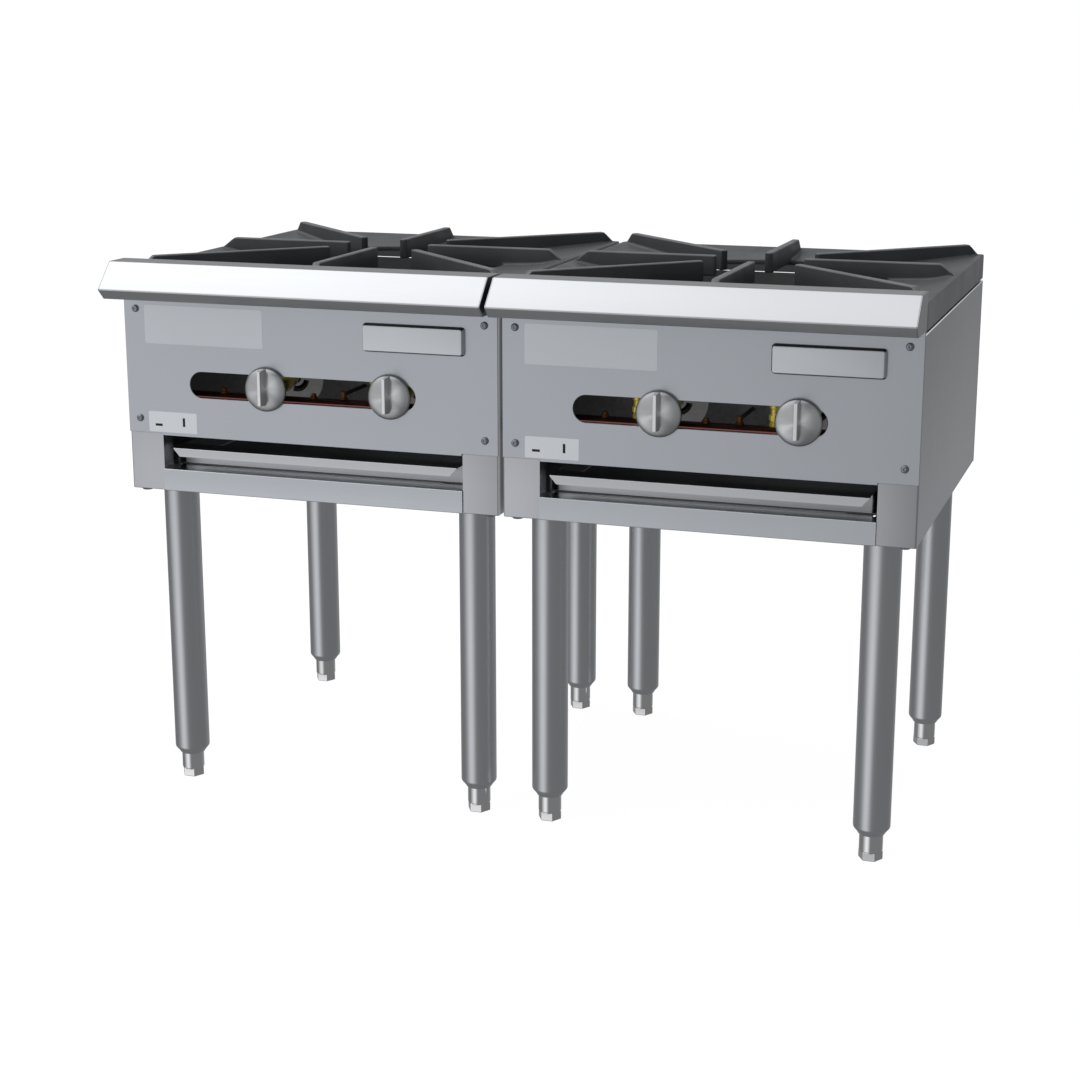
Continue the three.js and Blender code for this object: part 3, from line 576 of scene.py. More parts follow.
# The knob caps carry painted rays of highlight and shade and a painted dark rim.
knob_cap_painted_light = spun("knob_chrome_painted_light", (0.93, 0.94, 0.96), 0.22, 0.85)
ridge_chrome = plated("knob_ridge", (0.95, 0.955, 0.97), 0.2)
leg_steel = plated("leg_tube", (0.70, 0.715, 0.745), 0.32, 1.0, 0.01)
foot_steel = plated("foot_plating", (0.88, 0.88, 0.89), 0.13, 1.0, 0.01)
# Painted highlight: the valve brass glows more towards its top.
brass = plated("valve_brass_painted_highlight", (0.50, 0.43, 0.09), 0.3, 1.0, 0.06, 0.0, ("Z", 0.500, 0.507, 0.22))
# Painted light: the elbows' brass glows.
elbow_brass_painted_light = plated("valve_elbow_brass_painted_light", (0.62, 0.50, 0.10), 0.3, 1.0, 0.06, 0.16)
# Painted light: a faint glow on the orange fittings.
orange_brass_painted_light = plated("fitting_brass_painted_light", (0.20, 0.09, 0.03), 0.4, 1.0, 0.06, 0.02)
# Painted shade: the pilot tube is near black, so it stays lost in the shade behind the slot.
pilot_tube_painted_shade = plated("pilot_tube", (0.10, 0.10, 0.10), 0.4)
zinc = plated("fastener_zinc", (0.42, 0.43, 0.46), 0.35)
screw_zinc = plated("panel_screw_zinc", (0.33, 0.35, 0.39), 0.32)
galvanised = coated_sheet("galvanised_sheet", (0.42, 0.425, 0.44), 0.42)
# Painted light: the coated sheet with a faint glow, for the back panels.
back_sheet_painted_light = coated_sheet("back_sheet_painted_light", (0.42, 0.425, 0.44), 0.42, 60.0, 0.06)
# Painted light: a glowing coated sheet, for the air shutters.
aluminised_painted_light = coated_sheet("aluminised_sheet_painted_light", (0.38, 0.38, 0.38), 0.5, 220.0, 0.17)
# Primer red, with a painted highlight: a glowing line along the pipe's upper front.
primer_and_painted_highlight = painted("manifold_primer_and_painted_highlight", (0.055, 0.02, 0.015), 0.4, (0.4759, 0.4775))
badge = brushed("blank_plate", (0.77, 0.795, 0.835), 0.36, "x", 0.006)
# Painted highlight on the plate's rim, painted shade on its slopes.
badge_rim_painted_highlight = plated("blank_plate_rim_painted_highlight", (0.86, 0.875, 0.90), 0.34)
badge_painted_shade = plated("blank_plate_painted_shade", (0.035, 0.037, 0.041), 0.4, 0.5)
label = brushed("plain_label", (0.755, 0.785, 0.83), 0.38, "x", 0.004)
paper = brushed("pale_label", (0.90, 0.925, 0.96), 0.38, "x", 0.004)
ink = painted("printed_dash", (0.02, 0.02, 0.022), 0.6)
# Painted shade and painted light: a dark copy of the coated sheet with a faint glow, for the burner cradles.
cradle_painted_shade_and_light = coated_sheet("inside_sheet_painted_shade_and_light", (0.23, 0.235, 0.245), 0.5, 220.0, 0.03)
# Painted shade: dark discs stand in for the ports' holes.
port_painted_shade = iron("burner_ports", (0.012, 0.011, 0.01), (0.02, 0.018, 0.016), 0.8)

# -------- grate


def blend_max(a, b, width):
    """The larger of two heights, with a casting fillet between them."""
    d = (a - b) / width
    if d > 8:
        return a
    if d < -8:
        return b
    return b + width * math.log1p(math.exp(d))


def deck_height(x, y):
    """The deck's top: a rim that falls inwards, blended into a dish that falls to the mouth."""
    inset = min(HALF - abs(x), y - GRATE_FRONT, BODY_BACK - y)
    rim = RIM_TOP - max(0.0, inset - 5.0) * 0.22
    dish = RIM_TOP - 7.9 + 0.042 * (math.hypot(x, y - CENTRE_Y) - MOUTH)
    return blend_max(rim, dish, 0.7)


def grate_outline(inset, corner=3.0, per_side=44, per_corner=4):
    """Points round the grate, this far inside its edge, the same count at every inset."""
    x1 = HALF - inset
    y0, y1 = GRATE_FRONT + inset, BODY_BACK - inset
    r = max(0.4, corner - inset)
    out = []
    corners = [(x1, y1, 0), (-x1, y1, 90), (-x1, y0, 180), (x1, y0, 270)]
    centres = [(cx - math.copysign(r, cx), y1 - r if cy == y1 else y0 + r, a) for cx, cy, a in corners]
    for k, (cx, cy, a) in enumerate(centres):
        for step in range(per_corner + 1):
            t = math.radians(a + 90 * step / per_corner)
            out.append((cx + r * math.cos(t), cy + r * math.sin(t)))
        nx, ny, na = centres[(k + 1) % 4]
        sx, sy = out[-1]
        t = math.radians(na)
        ex, ey = nx + r * math.cos(t), ny + r * math.sin(t)
        for step in range(1, per_side):
            f = step / per_side
            out.append((sx + (ex - sx) * f, sy + (ey - sy) * f))
    return out


def grate_deck():
    """Skirt, rim, dished deck and mouth as one closed skin, from the skirt's foot round to its inside."""
    shoulder, lip, thick = 60.0, 2.4, 6.0
    rings = []

    def flat(inset, z):
        rings.append([(x, y, z) for x, y in grate_outline(inset)])

    def draped(inset, drop=0.0):
        rings.append([(x, y, deck_height(x, y) - drop) for x, y in grate_outline(inset)])

    def inwards(extra, share, drop=0.0):
        """A ring on the way from the shoulder (0) to a circle round the mouth (1)."""
        ring = []
        for (x, y), (ox, oy) in zip(grate_outline(0.0), grate_outline(shoulder)):
            scale = (MOUTH + extra) / math.hypot(x, y - CENTRE_Y)
            px = ox + (x * scale - ox) * share
            py = oy + (CENTRE_Y + (y - CENTRE_Y) * scale - oy) * share
            ring.append((px, py, deck_height(px, py) - drop))
        rings.append(ring)

    flat(0.7, SKIRT_BOTTOM)
    flat(0.0, SKIRT_BOTTOM + 0.7)
    flat(0.0, RIM_TOP - 1.8)
    flat(0.25, RIM_TOP - 0.8)
    flat(0.8, RIM_TOP - 0.25)
    flat(1.8, RIM_TOP)
    for step in range(26):
        draped(3.5 + step * 2.2)
    for step in range(1, 8):
        inwards(lip, step / 8)
    for extra, drop in ((lip, 0.0), (1.2, 0.15), (0.35, 0.6), (0.0, 1.6), (0.0, 4.6), (0.8, thick)):
        inwards(extra, 1, drop)
    inwards(lip, 0.5, thick)
    inwards(lip, 0.0, thick)
    draped(30.0, thick + 0.2)
    draped(10.0, thick + 0.6)
    flat(SKIRT_WALL + 0.4, RIM_TOP - 8.5)
    flat(SKIRT_WALL, RIM_TOP - 11.0)
    flat(SKIRT_WALL, SKIRT_BOTTOM + 0.7)
    flat(SKIRT_WALL - 0.7, SKIRT_BOTTOM)
    return loft(rings, wrap=True)


def grate_fin(angle, inner, outer, chamfer):
    """A fin from its inner to its outer reach, and from there down a slope of the chamfer's length."""
    ux, uy = math.cos(angle), math.sin(angle)
    nose = [(inner, 1.4), (inner + 0.35, 0.55), (inner + 1.2, 0.12), (inner + 2.6, 0.0)]
    reaches = spread(inner + 2.6, MOUTH - 1.5, 10) + [MOUTH + 1.5] + spread(MOUTH + 1.5, outer - 1.5, 14)
    reaches += [outer - 0.6, outer + 0.3, outer + 1.4] + spread(outer + 1.4, outer + chamfer, 8)
    stations = nose + [(reach, 0.0) for reach in reaches]
    rings = []
    for reach, pull in stations:
        x, y = ux * reach, CENTRE_Y + uy * reach
        slope = max(0.0, reach - outer) / chamfer
        top = FIN_TOP - slope * (FIN_TOP - RIM_TOP + 1.2)
        if outer - 0.7 < reach < outer + 1.5:
            top -= 0.25
        wide = FIN_HALF - pull
        crown = CROWN_HALF - pull
        if reach > MOUTH:
            deck = deck_height(x, y)
            room = max(0.0, min(1.0, (top - deck) / 4.2))
            half_loop = [
                (wide - 1.5, deck - 3.4),
                (wide + 1.9 * room, deck - 1.2),
                (wide + 1.9 * room, deck - 0.25),
                (wide + 0.7 * room, deck + 0.55 * room),
                (wide + 0.15 * room, deck + 1.5 * room),
                (wide, deck + 2.7 * room),
                (crown, deck + (top - deck - 1.3) * room),
                (crown - 0.4, max(top - 0.4, deck + 0.3 * (top - deck))),
                (crown - 1.3, top),
            ]
        else:
            low = FIN_BOTTOM + pull
            half_loop = [
                (wide - 1.6, low),
                (wide - 0.5, low + 0.4),
                (wide, low + 1.4),
                (wide, low + 2.2),
                (wide - 0.02, low + 4.0),
                (wide - 0.05, low + 7.0),
                (crown, top - 1.3 - pull),
                (crown - 0.4, top - 0.4 - pull),
                (crown - 1.3, top - pull),
            ]
        loop = [(-v, z) for v, z in half_loop] + [(v, z) for v, z in reversed(half_loop)]
        rings.append([(x - uy * v, y + ux * v, z) for v, z in loop])
    return loft(rings)


def grate(word):
    """The casting: deck, eight fins, four pads that seat it, and a strip that lowers its back skirt."""
    parts = [grate_deck()]
    parts += [grate_fin(math.pi / 2, 45, 198.3, FIN_END), grate_fin(-math.pi / 2, 45, 213.0, FIN_END)]
    for angle in (0, math.pi):
        parts.append(grate_fin(angle, 52, 207.2, 18))
        parts.append(grate_fin(angle + DIAGONAL, 77.5, 295.0, FIN_END))
        parts.append(grate_fin(angle - DIAGONAL, 77.5, 295.0, FIN_END))
    for side in (-1, 1):
        for y in (GRATE_FRONT + 50, BODY_BACK - 66):
            parts.append(side_box(side, 213.6, 225.6, y, y + 16, BODY_TOP + 0.3, SKIRT_BOTTOM + 3))
    inside = HALF - SKIRT_WALL - 1
    parts.append(box(-inside, inside, BODY_BACK - 6.9, BODY_BACK - 0.6, SKIRT_BOTTOM - 1.2, SKIRT_BOTTOM + 1))
    casting = make("grate_casting", parts, word, grate_iron, ("top_grate",),
                   f"{word}_top_grate_body", angle=38)

    def on_fin(middle):
        return middle.z > RIM_TOP + 0.6 or math.hypot(middle.x, middle.y - CENTRE_Y) < MOUTH - 0.8

    # The fins' upward faces, which take the lighter iron.
    def on_fin_top(normal, middle):
        return on_fin(middle) and normal.z > 0.35 and middle.z > RIM_TOP
    # The fins' sides take the darker copy: painted shade.
    refinish(casting, fin_side_iron_painted_shade, lambda normal, middle: on_fin(middle) and abs(normal.z) < 0.7)
    refinish(casting, fin_top_iron, on_fin_top)
    # The skirt's side faces take the lighter copy: painted light.
    refinish(casting, skirt_iron_painted_light, lambda normal, middle: abs(normal.x) > 0.9 and abs(middle.x) > HALF - 1.9)
    # The back skirt's inside glows: painted light.
    refinish(casting, inner_iron_painted_light, lambda normal, middle: normal.y < -0.9 and middle.y > BODY_BACK - 8)


# -------- sheet metal


def rail(word):
    """The sloped front rail: an open fold with two turned-in edges, and a plate at each end."""
    path = [(6.4, 625.1), (6.4, 637.1), (-29.3, 637.1), (-57.6, 608.0), (-45.2, 596.2), (6.4, 596.2),
            (6.4, 599.2)]
    radii = [0, 1.6, 2.6, 1.8, 1.6, 1.6, 0]
    end = fillet(path[1:-1], radii[1:-1], closed=True)
    parts = [along_x(folded(fillet(path, radii), SHEET), -HALF + 1.4, HALF - 1.4)]
    parts.append(along_x(end, -HALF, -HALF + SHEET, 0.5))
    parts.append(along_x(end, HALF - SHEET, HALF, 0.5))
    sheet = make("rail_sheet", parts, word, steel_rail, ("front_rail",), angle=38)
    # The end plates take the darker copy: painted shade.
    refinish(sheet, steel_end_painted_shade, lambda normal, middle: abs(normal.x) > 0.8)


def plane_fill(outer, holes, y):
    """A flat sheet face at y between an outer (x, z) loop and hole loops."""
    bm = bmesh.new()
    for loop in [outer] + holes:
        vs = [bm.verts.new((x, y, z)) for x, z in loop]
        for i in range(len(vs)):
            bm.edges.new((vs[i], vs[(i + 1) % len(vs)]))
    bmesh.ops.triangle_fill(bm, use_beauty=True, use_dissolve=False, edges=bm.edges)
    bm.verts.index_update()
    result = [tuple(v.co) for v in bm.verts], [tuple(v.index for v in f.verts) for f in bm.faces]
    bm.free()
    return result


def pierced_sheet(outer, holes, y0, y1, edge=0.4):
    """A sheet with eased edges in front, round its outside and its holes.

    The outer loop runs anticlockwise and the holes clockwise, seen from the front.
    """
    loops = [outer] + holes
    fronts = [offset(loop, edge, closed=True) for loop in loops]
    parts = []
    for front, loop in zip(fronts, loops):
        parts.append(loft([upright(front, y0), upright(loop, y0 + edge), upright(loop, y1)], caps=False))
    parts.append(plane_fill(fronts[0], fronts[1:], y0))
    parts.append(plane_fill(outer, holes, y1))
    return parts


def slot_loop(x0, x1, z, radius, sides=26):
    """A round-ended slot as a clockwise loop."""
    pts = []
    for middle, start in ((x0 + radius, 90), (x1 - radius, 270)):
        for k in range(sides + 1):
            t = math.radians(start + 180 * k / sides)
            pts.append((middle + radius * math.cos(t), z + radius * math.sin(t)))
    return list(reversed(pts))


def control_panel(word):
    """The panel with its slot, a return at its top, and the tray opening's lip at its bottom."""
    lip = OPENING_HALF
    outer = [(-HALF, PANEL_BOTTOM), (-lip, PANEL_BOTTOM), (-lip, OPENING_TOP), (lip, OPENING_TOP),
             (lip, PANEL_BOTTOM), (HALF, PANEL_BOTTOM), (HALF, PANEL_TOP), (-HALF, PANEL_TOP)]
    parts = pierced_sheet(outer, [slot_loop(*SLOT_ENDS, SLOT_Z, SLOT_RADIUS)], 0.0, SHEET)
    parts.append(box(-HALF, HALF, 1.0, 6.4, PANEL_TOP - SHEET, PANEL_TOP))
    parts.append(box(-lip, lip, 1.0, 13.0, OPENING_TOP, OPENING_TOP + SHEET))
    make("panel_sheet", parts, word, steel_x, ("control_panel",), angle=30)
    for index, x in enumerate((-213.8, 213.3)):
        for row, z in enumerate((452.2, 580.1)):
            panel_screw(f"panel_screw_{2 * index + row}", word, x, z)


def panel_screw(name, word, x, z):
    """A pan head with a recess, standing on the sheet."""
    profile = [(4.3, 0.0), (4.35, -0.5), (4.1, -1.25), (3.4, -1.85), (2.3, -2.2), (1.7, -2.25), (1.45, -1.7),
               (0, -1.2)]
    parts = [lathe(profile, (x, 0, z), "y", 32)]
    make(name, parts, word, screw_zinc, angle=40)


def name_plate(word):
    """A raised block with sloped sides, left blank; a painted highlight on its rim, painted shade on three
    slopes.
    """
    x0, x1, z0, z1 = 69.65, 191.15, 544.6, 577.0
    border = [(0.0, -0.3), (0.1, -0.8), (1.9, -5.6), (2.1, -6.0), (2.5, -6.25), (2.9, -6.3)]
    rings = []
    for inset, y in border:
        loop = rounded(x0 + inset, x1 - inset, z0 + inset, z1 - inset, max(1.2, 4.5 - inset))
        rings.append(upright(loop, y))
    plate = make("blank_plate", [loft(rings)], word, badge_rim_painted_highlight, ("name_plate",), angle=40)

    def painted_shade_slopes(normal, middle):
        """The slopes above, below and on the left, which get painted shade."""
        return normal.y > -0.7 and (abs(normal.z) > 0.5 or normal.x < -0.5)
    refinish(plate, badge, lambda normal, middle: normal.y < -0.99)
    refinish(plate, badge_painted_shade, painted_shade_slopes)


def labels(word):
    """A large and a small label without print, but for two dashes on the small one."""
    big = rounded(-202.9, -53.6, 540.5, 585.0, 2.5)
    small = rounded(-202.6, -140.6, 437.0, 461.0, 1.5)
    for name, loop, finish in (("large_label", big, label), ("small_label", small, paper)):
        rings = [upright(loop, 0.02), upright(offset(loop, 0.05, closed=True), -0.12)]
        make(name, [loft(rings)], word, finish, angle=30)
    flat_dash = box(-194.3, -185.2, -0.16, -0.1, 444.0, 446.8)
    tall_dash = box(-158.9, -155.9, -0.16, -0.1, 444.5, 454.8)
    make("label_dashes", [flat_dash, tall_dash], word, ink)


def side_panel(word, role, side):
    """A folded sheet: wall, front and back flange round one bend line, flanges above and below, and
    a jamb beside the tray opening.
    """
    bend = fillet([(186.0, 1.8), (HALF, 1.8), (HALF, 466.1), (218.6, 466.1)], [0, 2.0, 2.0, 0])
    inside = offset(bend, SHEET)
    top, bottom, edge = BODY_TOP, BODY_BOTTOM, 1.2

    def ring(inset, z):
        return [(side * x, y, z) for x, y in offset(bend, inset) + list(reversed(inside))]
    turn = [k * math.pi / 8 for k in range(5)]
    rings = [ring(edge * (1 - math.sin(t)), bottom + edge * (1 - math.cos(t))) for t in turn]
    rings += [ring(edge * (1 - math.cos(t)), top - edge * (1 - math.sin(t))) for t in turn]
    parts = [loft(rings), side_box(side, 208.6, 227.3, 3.2, 464.8, top - SHEET, top - 0.02),
             side_box(side, 208.6, 227.3, 3.2, 464.8, bottom + 0.02, bottom + SHEET),
             side_box(side, 186.02, 187.5, 2.4, 24.0, SHELF_TOP + 0.3, OPENING_TOP)]
    node = f"{role}_side_panel"
    sheet = make(f"{role}_side_sheet", parts, word, steel_y, (node,), angle=35)

    # The rounded top edge takes a painted highlight.
    def on_hem_highlight(normal, middle):
        return middle.z > BODY_TOP - 1.25 and 0.2 < normal.z < 0.99
    # The front flanges take the darker copy: painted shade.
    refinish(sheet, steel_flange, lambda normal, middle: normal.y < -0.7)
    refinish(sheet, steel_hem_painted_highlight, on_hem_highlight)
    # The inner wall, seen through the seam, glows: painted light.
    if role == "inner":
        refinish(sheet, steel_seam_painted_light, lambda normal, middle: side * normal.x > 0.7)


def lower_bar(word):
    """The bar under the tray opening: face, bottom return and a shelf that runs in under the tray.

    A low edge at the shelf's back closes the slit of light under the tray.
    """
    top = SHELF_TOP
    face = fillet([(4.8, BODY_BOTTOM), (0, BODY_BOTTOM), (0, top), (25.0, top)], [0, 1.2, 1.3, 0])
    parts = [along_x(folded(face, -SHEET), -OPENING_HALF, OPENING_HALF)]
    parts.append(box(-TRAY_HALF, TRAY_HALF, 24.0, 37.0, top - SHEET, top))
    for side in (-1, 1):
        parts.append(side_box(side, 171.7, 199.7, 3.6, 5.1, 369.9, 392.6))
    parts.append(box(-TRAY_HALF, TRAY_HALF, 36.2, 37.0, top - 1.4, top + 0.95))
    bar = make("lower_bar_sheet", parts, word, steel_bar, ("lower_front_bar",), angle=35)
    # Upward faces take the lighter copy: painted light.
    refinish(bar, steel_shelf_painted_light, lambda normal, middle: normal.z > 0.9)
    # Painted shade on the low edge's front face.
    refinish(bar, tray_painted_shade, lambda normal, middle: normal.y < -0.9 and middle.y > 30)


def drip_tray(word):
    """An open pan; a flange from its top edge carries the hand strip with its slanted ends."""
    def ring(inset, z):
        loop = rounded(-TRAY_HALF + inset, TRAY_HALF - inset, TRAY_FRONT + inset, TRAY_BACK - inset,
                       max(1.0, 3.0 - inset))
        return [(x, y, z) for x, y in loop]
    low, top, wall = TRAY_BOTTOM, TRAY_TOP, TRAY_SHEET
    outside = [ring(0.2, low - 0.2), ring(0, low), ring(0, top - 0.3), ring(0.3, top)]
    inside = [ring(wall - 0.3, top), ring(wall, top - 0.3), ring(wall, low + 2), ring(wall + 1, low + 1)]
    bend = fillet([(34.6, top), (7.0, top), (7.0, 407.4)], [0, 1.4, 0])
    outline = folded(bend, wall)

    def end(side):
        return [(side * (176.4 - max(0.0, 415.0 - z) * 1.026), y, z) for y, z in outline]
    parts = [loft(outside + inside), loft([end(-1), end(1)])]
    tray = make("tray_pan", parts, word, tray_steel, ("drip_tray",), f"{word}_drip_tray_body",
                angle=35)
    # Painted shade on the pan's upward faces behind the strip's front.
    refinish(tray, tray_painted_shade, lambda normal, middle: normal.z > 0.9 and middle.y > 8.5)
    refinish(tray, tray_wall, lambda normal, middle: normal.y < -0.9 and middle.y > 30)


# -------- knobs and gas train


def knob(word, burner, x):
    """A domed cap with a straight ridge above its middle, on a stem through the slot."""
    z, radius = SLOT_Z, 25.5
    profile = [(0, -1.0), (radius - 0.9, -1.0), (radius - 0.2, -1.3), (radius, -1.9)]
    for step in range(17):
        t = step / 16 * math.pi / 2
        profile.append((radius * math.cos(t), -3.0 - 6.0 * math.sin(t)))
    cap = lathe(profile, (x, 0, z), "y", 80)

    def section(y, half_wide, low, high):
        return [(x - half_wide, y, z + low), (x + half_wide, y, z + low),
                (x + half_wide, y, z + high), (x - half_wide, y, z + high)]
    ridge = loft([section(-3.5, 2.4, -18.0, 24.4), section(-12, 2.3, -17.2, 23.7),
                  section(-20, 2.2, -16.5, 23.0)])
    stem = lathe([(4, -2), (4, 11.3), (3.6, 11.7), (0, 11.7)], (x, 0, z), "y", 24)
    body = f"{word}_{burner}_knob_body"
    make(f"{burner}_knob_cap", [cap], word, knob_cap_painted_light, (f"{burner}_knob",), body, angle=40)
    make(f"{burner}_knob_ridge", [ridge], word, ridge_chrome, (), body, 0.6, 40, 3)
    make(f"{burner}_knob_stem", [stem], word, zinc, (), body)


def valve(word, burner, x):
    """A brass valve on the mixer tube's line, with an elbow down to the manifold."""
    y, z = MANIFOLD_Y, SLOT_Z
    body = [(0, 12), (5.5, 12), (6.2, 12.6), (6.2, 17), (7.4, 17.2), (7.8, 17.8), (7.8, 21), (6.4, 21.6),
            (6.4, 27), (9.4, 27.6), (10.6, 29.5), (11, 32), (11, 50), (10.2, 54), (8.4, 57), (7.2, 58),
            (0, 58)]
    parts = [lathe(body, (x, 0, z), "y", 40)]
    hood = [(0, 57.5), (6.4, 57.5), (7.4, 58.5), (7.4, 72.6), (6.6, 74), (4.0, 74), (3.9, 80), (2.0, 84),
            (0, 84)]
    parts.append(lathe(hood, (x, 0, z), "y", 6))
    parts.append(lathe([(0, 22), (9.6, 22), (9.6, 26.4), (0, 26.4)], (x, 0, z), "y", 6, math.pi / 6))
    foot_x = x - ELBOW_REACH
    elbow = [tube([(x, y, z), (foot_x, y, z)], 5.6, 20)]
    riser = [(0, 481.9), (5.9, 481.9), (5.9, 486), (4.9, 487), (4.9, 501), (5.9, 502), (5.9, 505.2),
             (5.2, 506), (0, 506)]
    elbow.append(lathe(riser, (foot_x, y, 0), "z", 28))
    elbow.append(lathe([(0, 488.5), (6.8, 488.5), (6.8, 494), (0, 494)], (foot_x, y, 0), "z", 6))
    make(f"{burner}_valve_body", parts, word, brass, (f"{burner}_valve",), angle=35)
    make(f"{burner}_valve_elbow", elbow, word, elbow_brass_painted_light, angle=35)


def shutter(word, burner, x):
    """The disc that turns on the mixer tube's mouth, with two curved windows."""
    z = SLOT_Z

    def window(start):
        turns = [start + 0.55 * math.pi * k / 14 for k in range(15)]
        rim = [(16.5, t) for t in turns] + [(9.5, t) for t in reversed(turns)]
        return [(x + r * math.cos(t), z + r * math.sin(t)) for r, t in reversed(rim)]
    outer = [(x + u, z + v) for u, v in circle(34.0, 96)]
    hub = [(x + u, z + v) for u, v in reversed(circle(6.0, 32))]
    disc = pierced_sheet(outer, [hub, window(-0.6 * math.pi), window(0.4 * math.pi)], 79.8, 81.4, 0.25)
    node = f"{burner}_air_shutter"
    make(f"{burner}_shutter_disc", disc, word, aluminised_painted_light, (node,), f"{word}_{node}_body",
         angle=30)


def pilot(word):
    """A tap on the manifold, and its tube back and up to a tip beside the burner."""
    x, y, z = 29.5, MANIFOLD_Y, 487.55
    back, bend = 157, 12
    tap = [(0, 481.9), (5, 481.9), (5, 483.4), (3.4, 483.8), (3.4, 489.6), (4.2, 490), (4.2, 490.6),
           (0, 490.85)]
    parts = [lathe(tap, (x, y, 0), "z", 6)]
    path = [(x, y, z), (x, 90, z)]
    for k in range(9):
        t = k * math.pi / 16
        path.append((x, back - bend + bend * math.sin(t), z + bend - bend * math.cos(t)))
    parts.append(tube(path + [(x, back, 556)], 2.3, 14))
    tip = [(0, 554), (3.6, 554), (3.6, 560), (2.9, 561), (2.9, 563.4), (0, 564)]
    parts.append(lathe(tip, (x, back, 0), "z", 20))
    # The tube is near black: painted shade.
    fitting = make("pilot_tube", parts, word, pilot_tube_painted_shade, ("pilot",), angle=35)
    refinish(fitting, orange_brass_painted_light, lambda normal, middle: middle.y < MANIFOLD_Y + 6)


def manifold():
    """The pipe along both sections, its end cap, and two small plugs on it in each section."""
    start, end = -431.2, 414.4
    middle = (0, MANIFOLD_Y, MANIFOLD_Z)
    pipe = [(0, start), (12.9, start), (13.35, start + 0.6), (13.35, end), (0, end)]
    make("manifold_pipe", [lathe(pipe, middle, "x", 48)], "", primer_and_painted_highlight, ("gas_manifold",))
    cap = [(0, start), (14.5, start), (16.0, start + 1.2), (16.0, start + 15.5), (15.2, start + 18.3),
           (0, start + 18.3)]
    make("manifold_end_cap", [lathe(cap, middle, "x", 6)], "", primer_and_painted_highlight, bevel=0.6)
    plug = [(0, 480.6), (4.6, 480.6), (4.6, 483.6), (3.2, 484), (3.2, 486.4), (2.4, 487), (0, 487)]
    for word in HAND:
        for number, x in enumerate((-120.7, -7.1)):
            fitting = lathe(plug, (x, MANIFOLD_Y - 2, 0), "z", 6)
            make(f"manifold_plug_{number}", [fitting], word, orange_brass_painted_light, bevel=0.3)


# -------- legs


def leg(word, place, side, x, y):
    """A round tube, drawn in at its lower end."""
    profile = [(13.5, 30.0), (14.4, 30.0), (14.9, 30.4), (15.3, 31.2), (16.9, 33.6), (19.3, 36.4),
               (20.3, 37.9), (20.65, 39.6), (20.65, 368.9), (19.15, 368.9), (19.15, 46.4), (13.5, 38.2),
               (13.5, 30.0)]
    node = f"{place}_{side}_leg"
    walls = lathe(profile, (x, y, 0), "z", 80)
    make(f"{node}_tube", [walls], word, leg_steel, (node,), angle=50)


def foot(word, place, side, x, y):
    """A screw that stands in the leg, on a hexagonal sole."""
    shaft = [(0, 9.0), (12.6, 9.0), (12.6, 10.4), (13.2, 10.8), (13.2, 111.4), (12.6, 112), (0, 112)]
    sole = [(0, 0), (12.7, 0), (13.4, 0.5), (13.7, 1.2), (13.7, 9.3), (13.3, 9.8), (0, 9.8)]
    parts = [lathe(shaft, (x, y, 0), "z", 64), lathe(sole, (x, y, 0), "z", 6)]
    node = f"{place}_{side}_foot"
    make(f"{node}_screw", parts, word, foot_steel, (node,), f"{word}_{node}_body", 0.3, 35)


def burner_ports(word):
    """The flame ports: dark discs of painted shade in place of holes, in four rows round the rings' tops,
    each row turned by its own angle.
    """
    disc = [(1.5, 571.6), (1.5, 572.04), (0, 572.06)]
    drillings = []
    for radius, count in ((119.0, 44), (133.0, 52), (38.0, 16), (54.0, 24)):
        for x, y in circle(radius, count, turn=radius):
            drillings.append(lathe(disc, (x, CENTRE_Y + y, 0), "z", 12))
    make("burner_ports", drillings, word, port_painted_shade, angle=40)


# -------- build

for word, hand in HAND.items():
    grate(word)
    rail(word)
    control_panel(word)
    name_plate(word)
    labels(word)
    lower_bar(word)
    drip_tray(word)
    side_panel(word, "outer", hand)
    side_panel(word, "inner", -hand)
    burner_ports(word)
    for burner, knob_x in KNOBS.items():
        knob(word, burner, knob_x)
        valve(word, burner, knob_x)
        shutter(word, burner, knob_x)
    pilot(word)
    for place, leg_y in LEG_Y.items():
        for side, leg_x in (("outer", hand * LEG_X), ("inner", -hand * LEG_X)):
            leg(word, place, side, leg_x, leg_y)
            foot(word, place, side, leg_x, leg_y)
manifold()


def dress(node, material, width=0.4):
    """A CAD node that keeps its shape: broken edges and its own finish."""
    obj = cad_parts[node]
    obj.data.materials.clear()
    obj.data.materials.append(material)
    flat = obj.modifiers.new("flat", "DECIMATE")
    flat.decimate_type = "DISSOLVE"
    flat.angle_limit = math.radians(1)
    ease(obj, width, 30)


for word in HAND:
    # Back panels glow and burner cradles are dark and glow: painted light and painted shade.
    dress(f"{word}_back_panel", back_sheet_painted_light)
    dress(f"{word}_base_frame", galvanised)
    dress(f"{word}_burner_cradle", cradle_painted_shade_and_light)
    for burner in KNOBS:
        dress(f"{word}_{burner}_burner", burner_iron, 0.6)
dress("gas_inlet_pipe", primer_and_painted_highlight, 0.3)
dress("front_joining_bolt", zinc, 0.3)
dress("back_joining_bolt", zinc, 0.3)

# -------- floor, backdrop, light, camera


def stage_object(name, build, material):
    """A piece of the setting that only the camera sees: it casts no shadow and no light on the range."""
    bm = bmesh.new()
    build(bm)
    mesh = bpy.data.meshes.new(name)
    bm.to_mesh(mesh)
    bm.free()
    obj = bpy.data.objects.new(name, mesh)
    bpy.context.scene.collection.objects.link(obj)
    mesh.materials.append(material)
    obj.visible_diffuse = False
    obj.visible_glossy = False
    obj.visible_transmission = False
    obj.visible_volume_scatter = False
    obj.visible_shadow = False


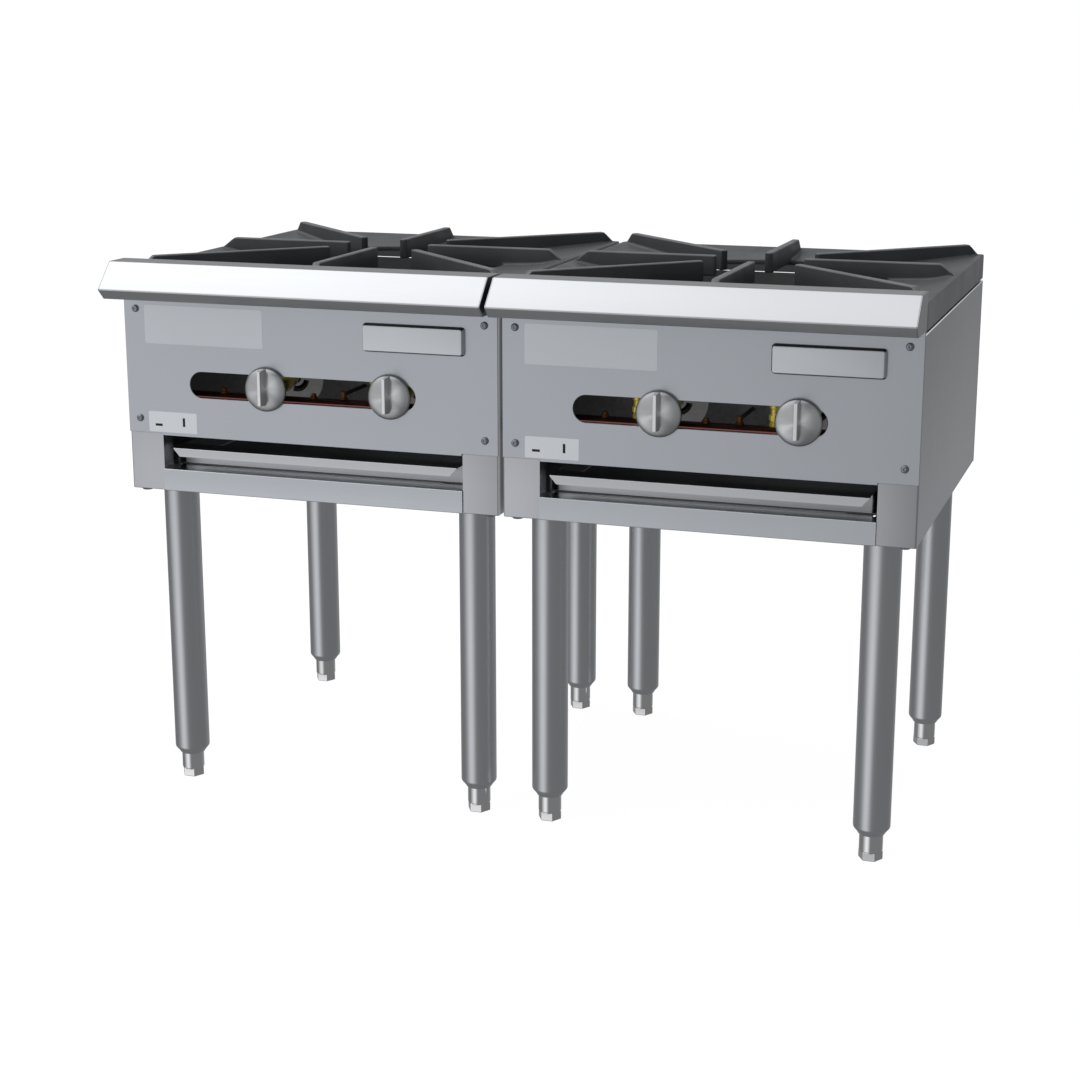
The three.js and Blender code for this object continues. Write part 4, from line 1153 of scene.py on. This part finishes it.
def glowing(name, strength, albedo):
    """An even glow over a matt grey."""
    material = bpy.data.materials.new(name)
    material.use_nodes = True
    s = Nodes(material.node_tree)
    s.tree.nodes.clear()
    glow = s.node("ShaderNodeEmission", Strength=strength)
    matt = s.node("ShaderNodeBsdfDiffuse", Color=(albedo, albedo, albedo, 1))
    both = s.node("ShaderNodeAddShader")
    s.link(glow.outputs[0], both.inputs[0])
    s.link(matt.outputs[0], both.inputs[1])
    s.link(both.outputs[0], s.node("ShaderNodeOutputMaterial").inputs[0])
    return material


def floor_disc(bm):
    bmesh.ops.create_circle(bm, cap_ends=True, radius=18, segments=96)


def backdrop_dome(bm):
    bmesh.ops.create_uvsphere(bm, u_segments=64, v_segments=32, radius=20)


stage_object("floor", floor_disc, glowing("pale_floor", 0.97, 0.1))
stage_object("backdrop", backdrop_dome, glowing("pale_backdrop", 1.0, 0.0))


def studio_light(base, lobes):
    """Soft boxes as smooth patches of light in given directions, over an even base.

    A lobe is its direction, the cosines off it at which it begins and is full, and its strength.
    """
    world = bpy.data.worlds.new("studio")
    bpy.context.scene.world = world
    world.use_nodes = True
    sky = Nodes(world.node_tree)
    sky.tree.nodes.clear()
    coords = sky.node("ShaderNodeTexCoord")
    total = None
    for direction, start, full, strength in lobes:
        dot = sky.node("ShaderNodeVectorMath", operation="DOT_PRODUCT")
        sky.link(coords.outputs["Generated"], dot.inputs[0])
        dot.inputs[1].default_value = Vector(direction).normalized()
        add = sky.node("ShaderNodeMath", operation="ADD")
        sky.link(sky.ranged(dot.outputs["Value"], 0.0, strength, start, full, "SMOOTHSTEP"), add.inputs[0])
        if total is None:
            add.inputs[1].default_value = base
        else:
            sky.link(total, add.inputs[1])
        total = add.outputs[0]
    background = sky.node("ShaderNodeBackground", Color=(0.985, 0.99, 1.0, 1))
    sky.link(total, background.inputs["Strength"])
    sky.link(background.outputs[0], sky.node("ShaderNodeOutputWorld").inputs["Surface"])


studio_light(0.19, [
    ((-0.45, -0.20, 0.87), 0.55, 0.97, 0.90),
    ((-0.62, -0.10, 0.78), 0.885, 0.975, 0.6),
    ((-0.574, -0.819, -0.05), 0.70, 0.98, 0.43),
    ((-0.40, -0.72, -0.57), 0.90, 1.0, 0.35),
    ((-0.15, 0.98, 0.05), 0.4, 0.98, 0.13),
])

# The camera stands where the photograph's did, by a fit to the range's corners; metres and degrees.
camera_data = bpy.data.cameras.new("camera")
camera_data.lens = 70.0
camera_data.sensor_width = 36.0
camera = bpy.data.objects.new("camera", camera_data)
bpy.context.scene.collection.objects.link(camera)
camera.location = (0.761985, -2.340287, 0.916594)
camera.rotation_euler = (math.radians(75.748), 0.0, math.radians(18.535))
bpy.context.scene.camera = camera
bpy.context.scene.view_settings.view_transform = "Standard"
bpy.context.scene.view_settings.look = "None"
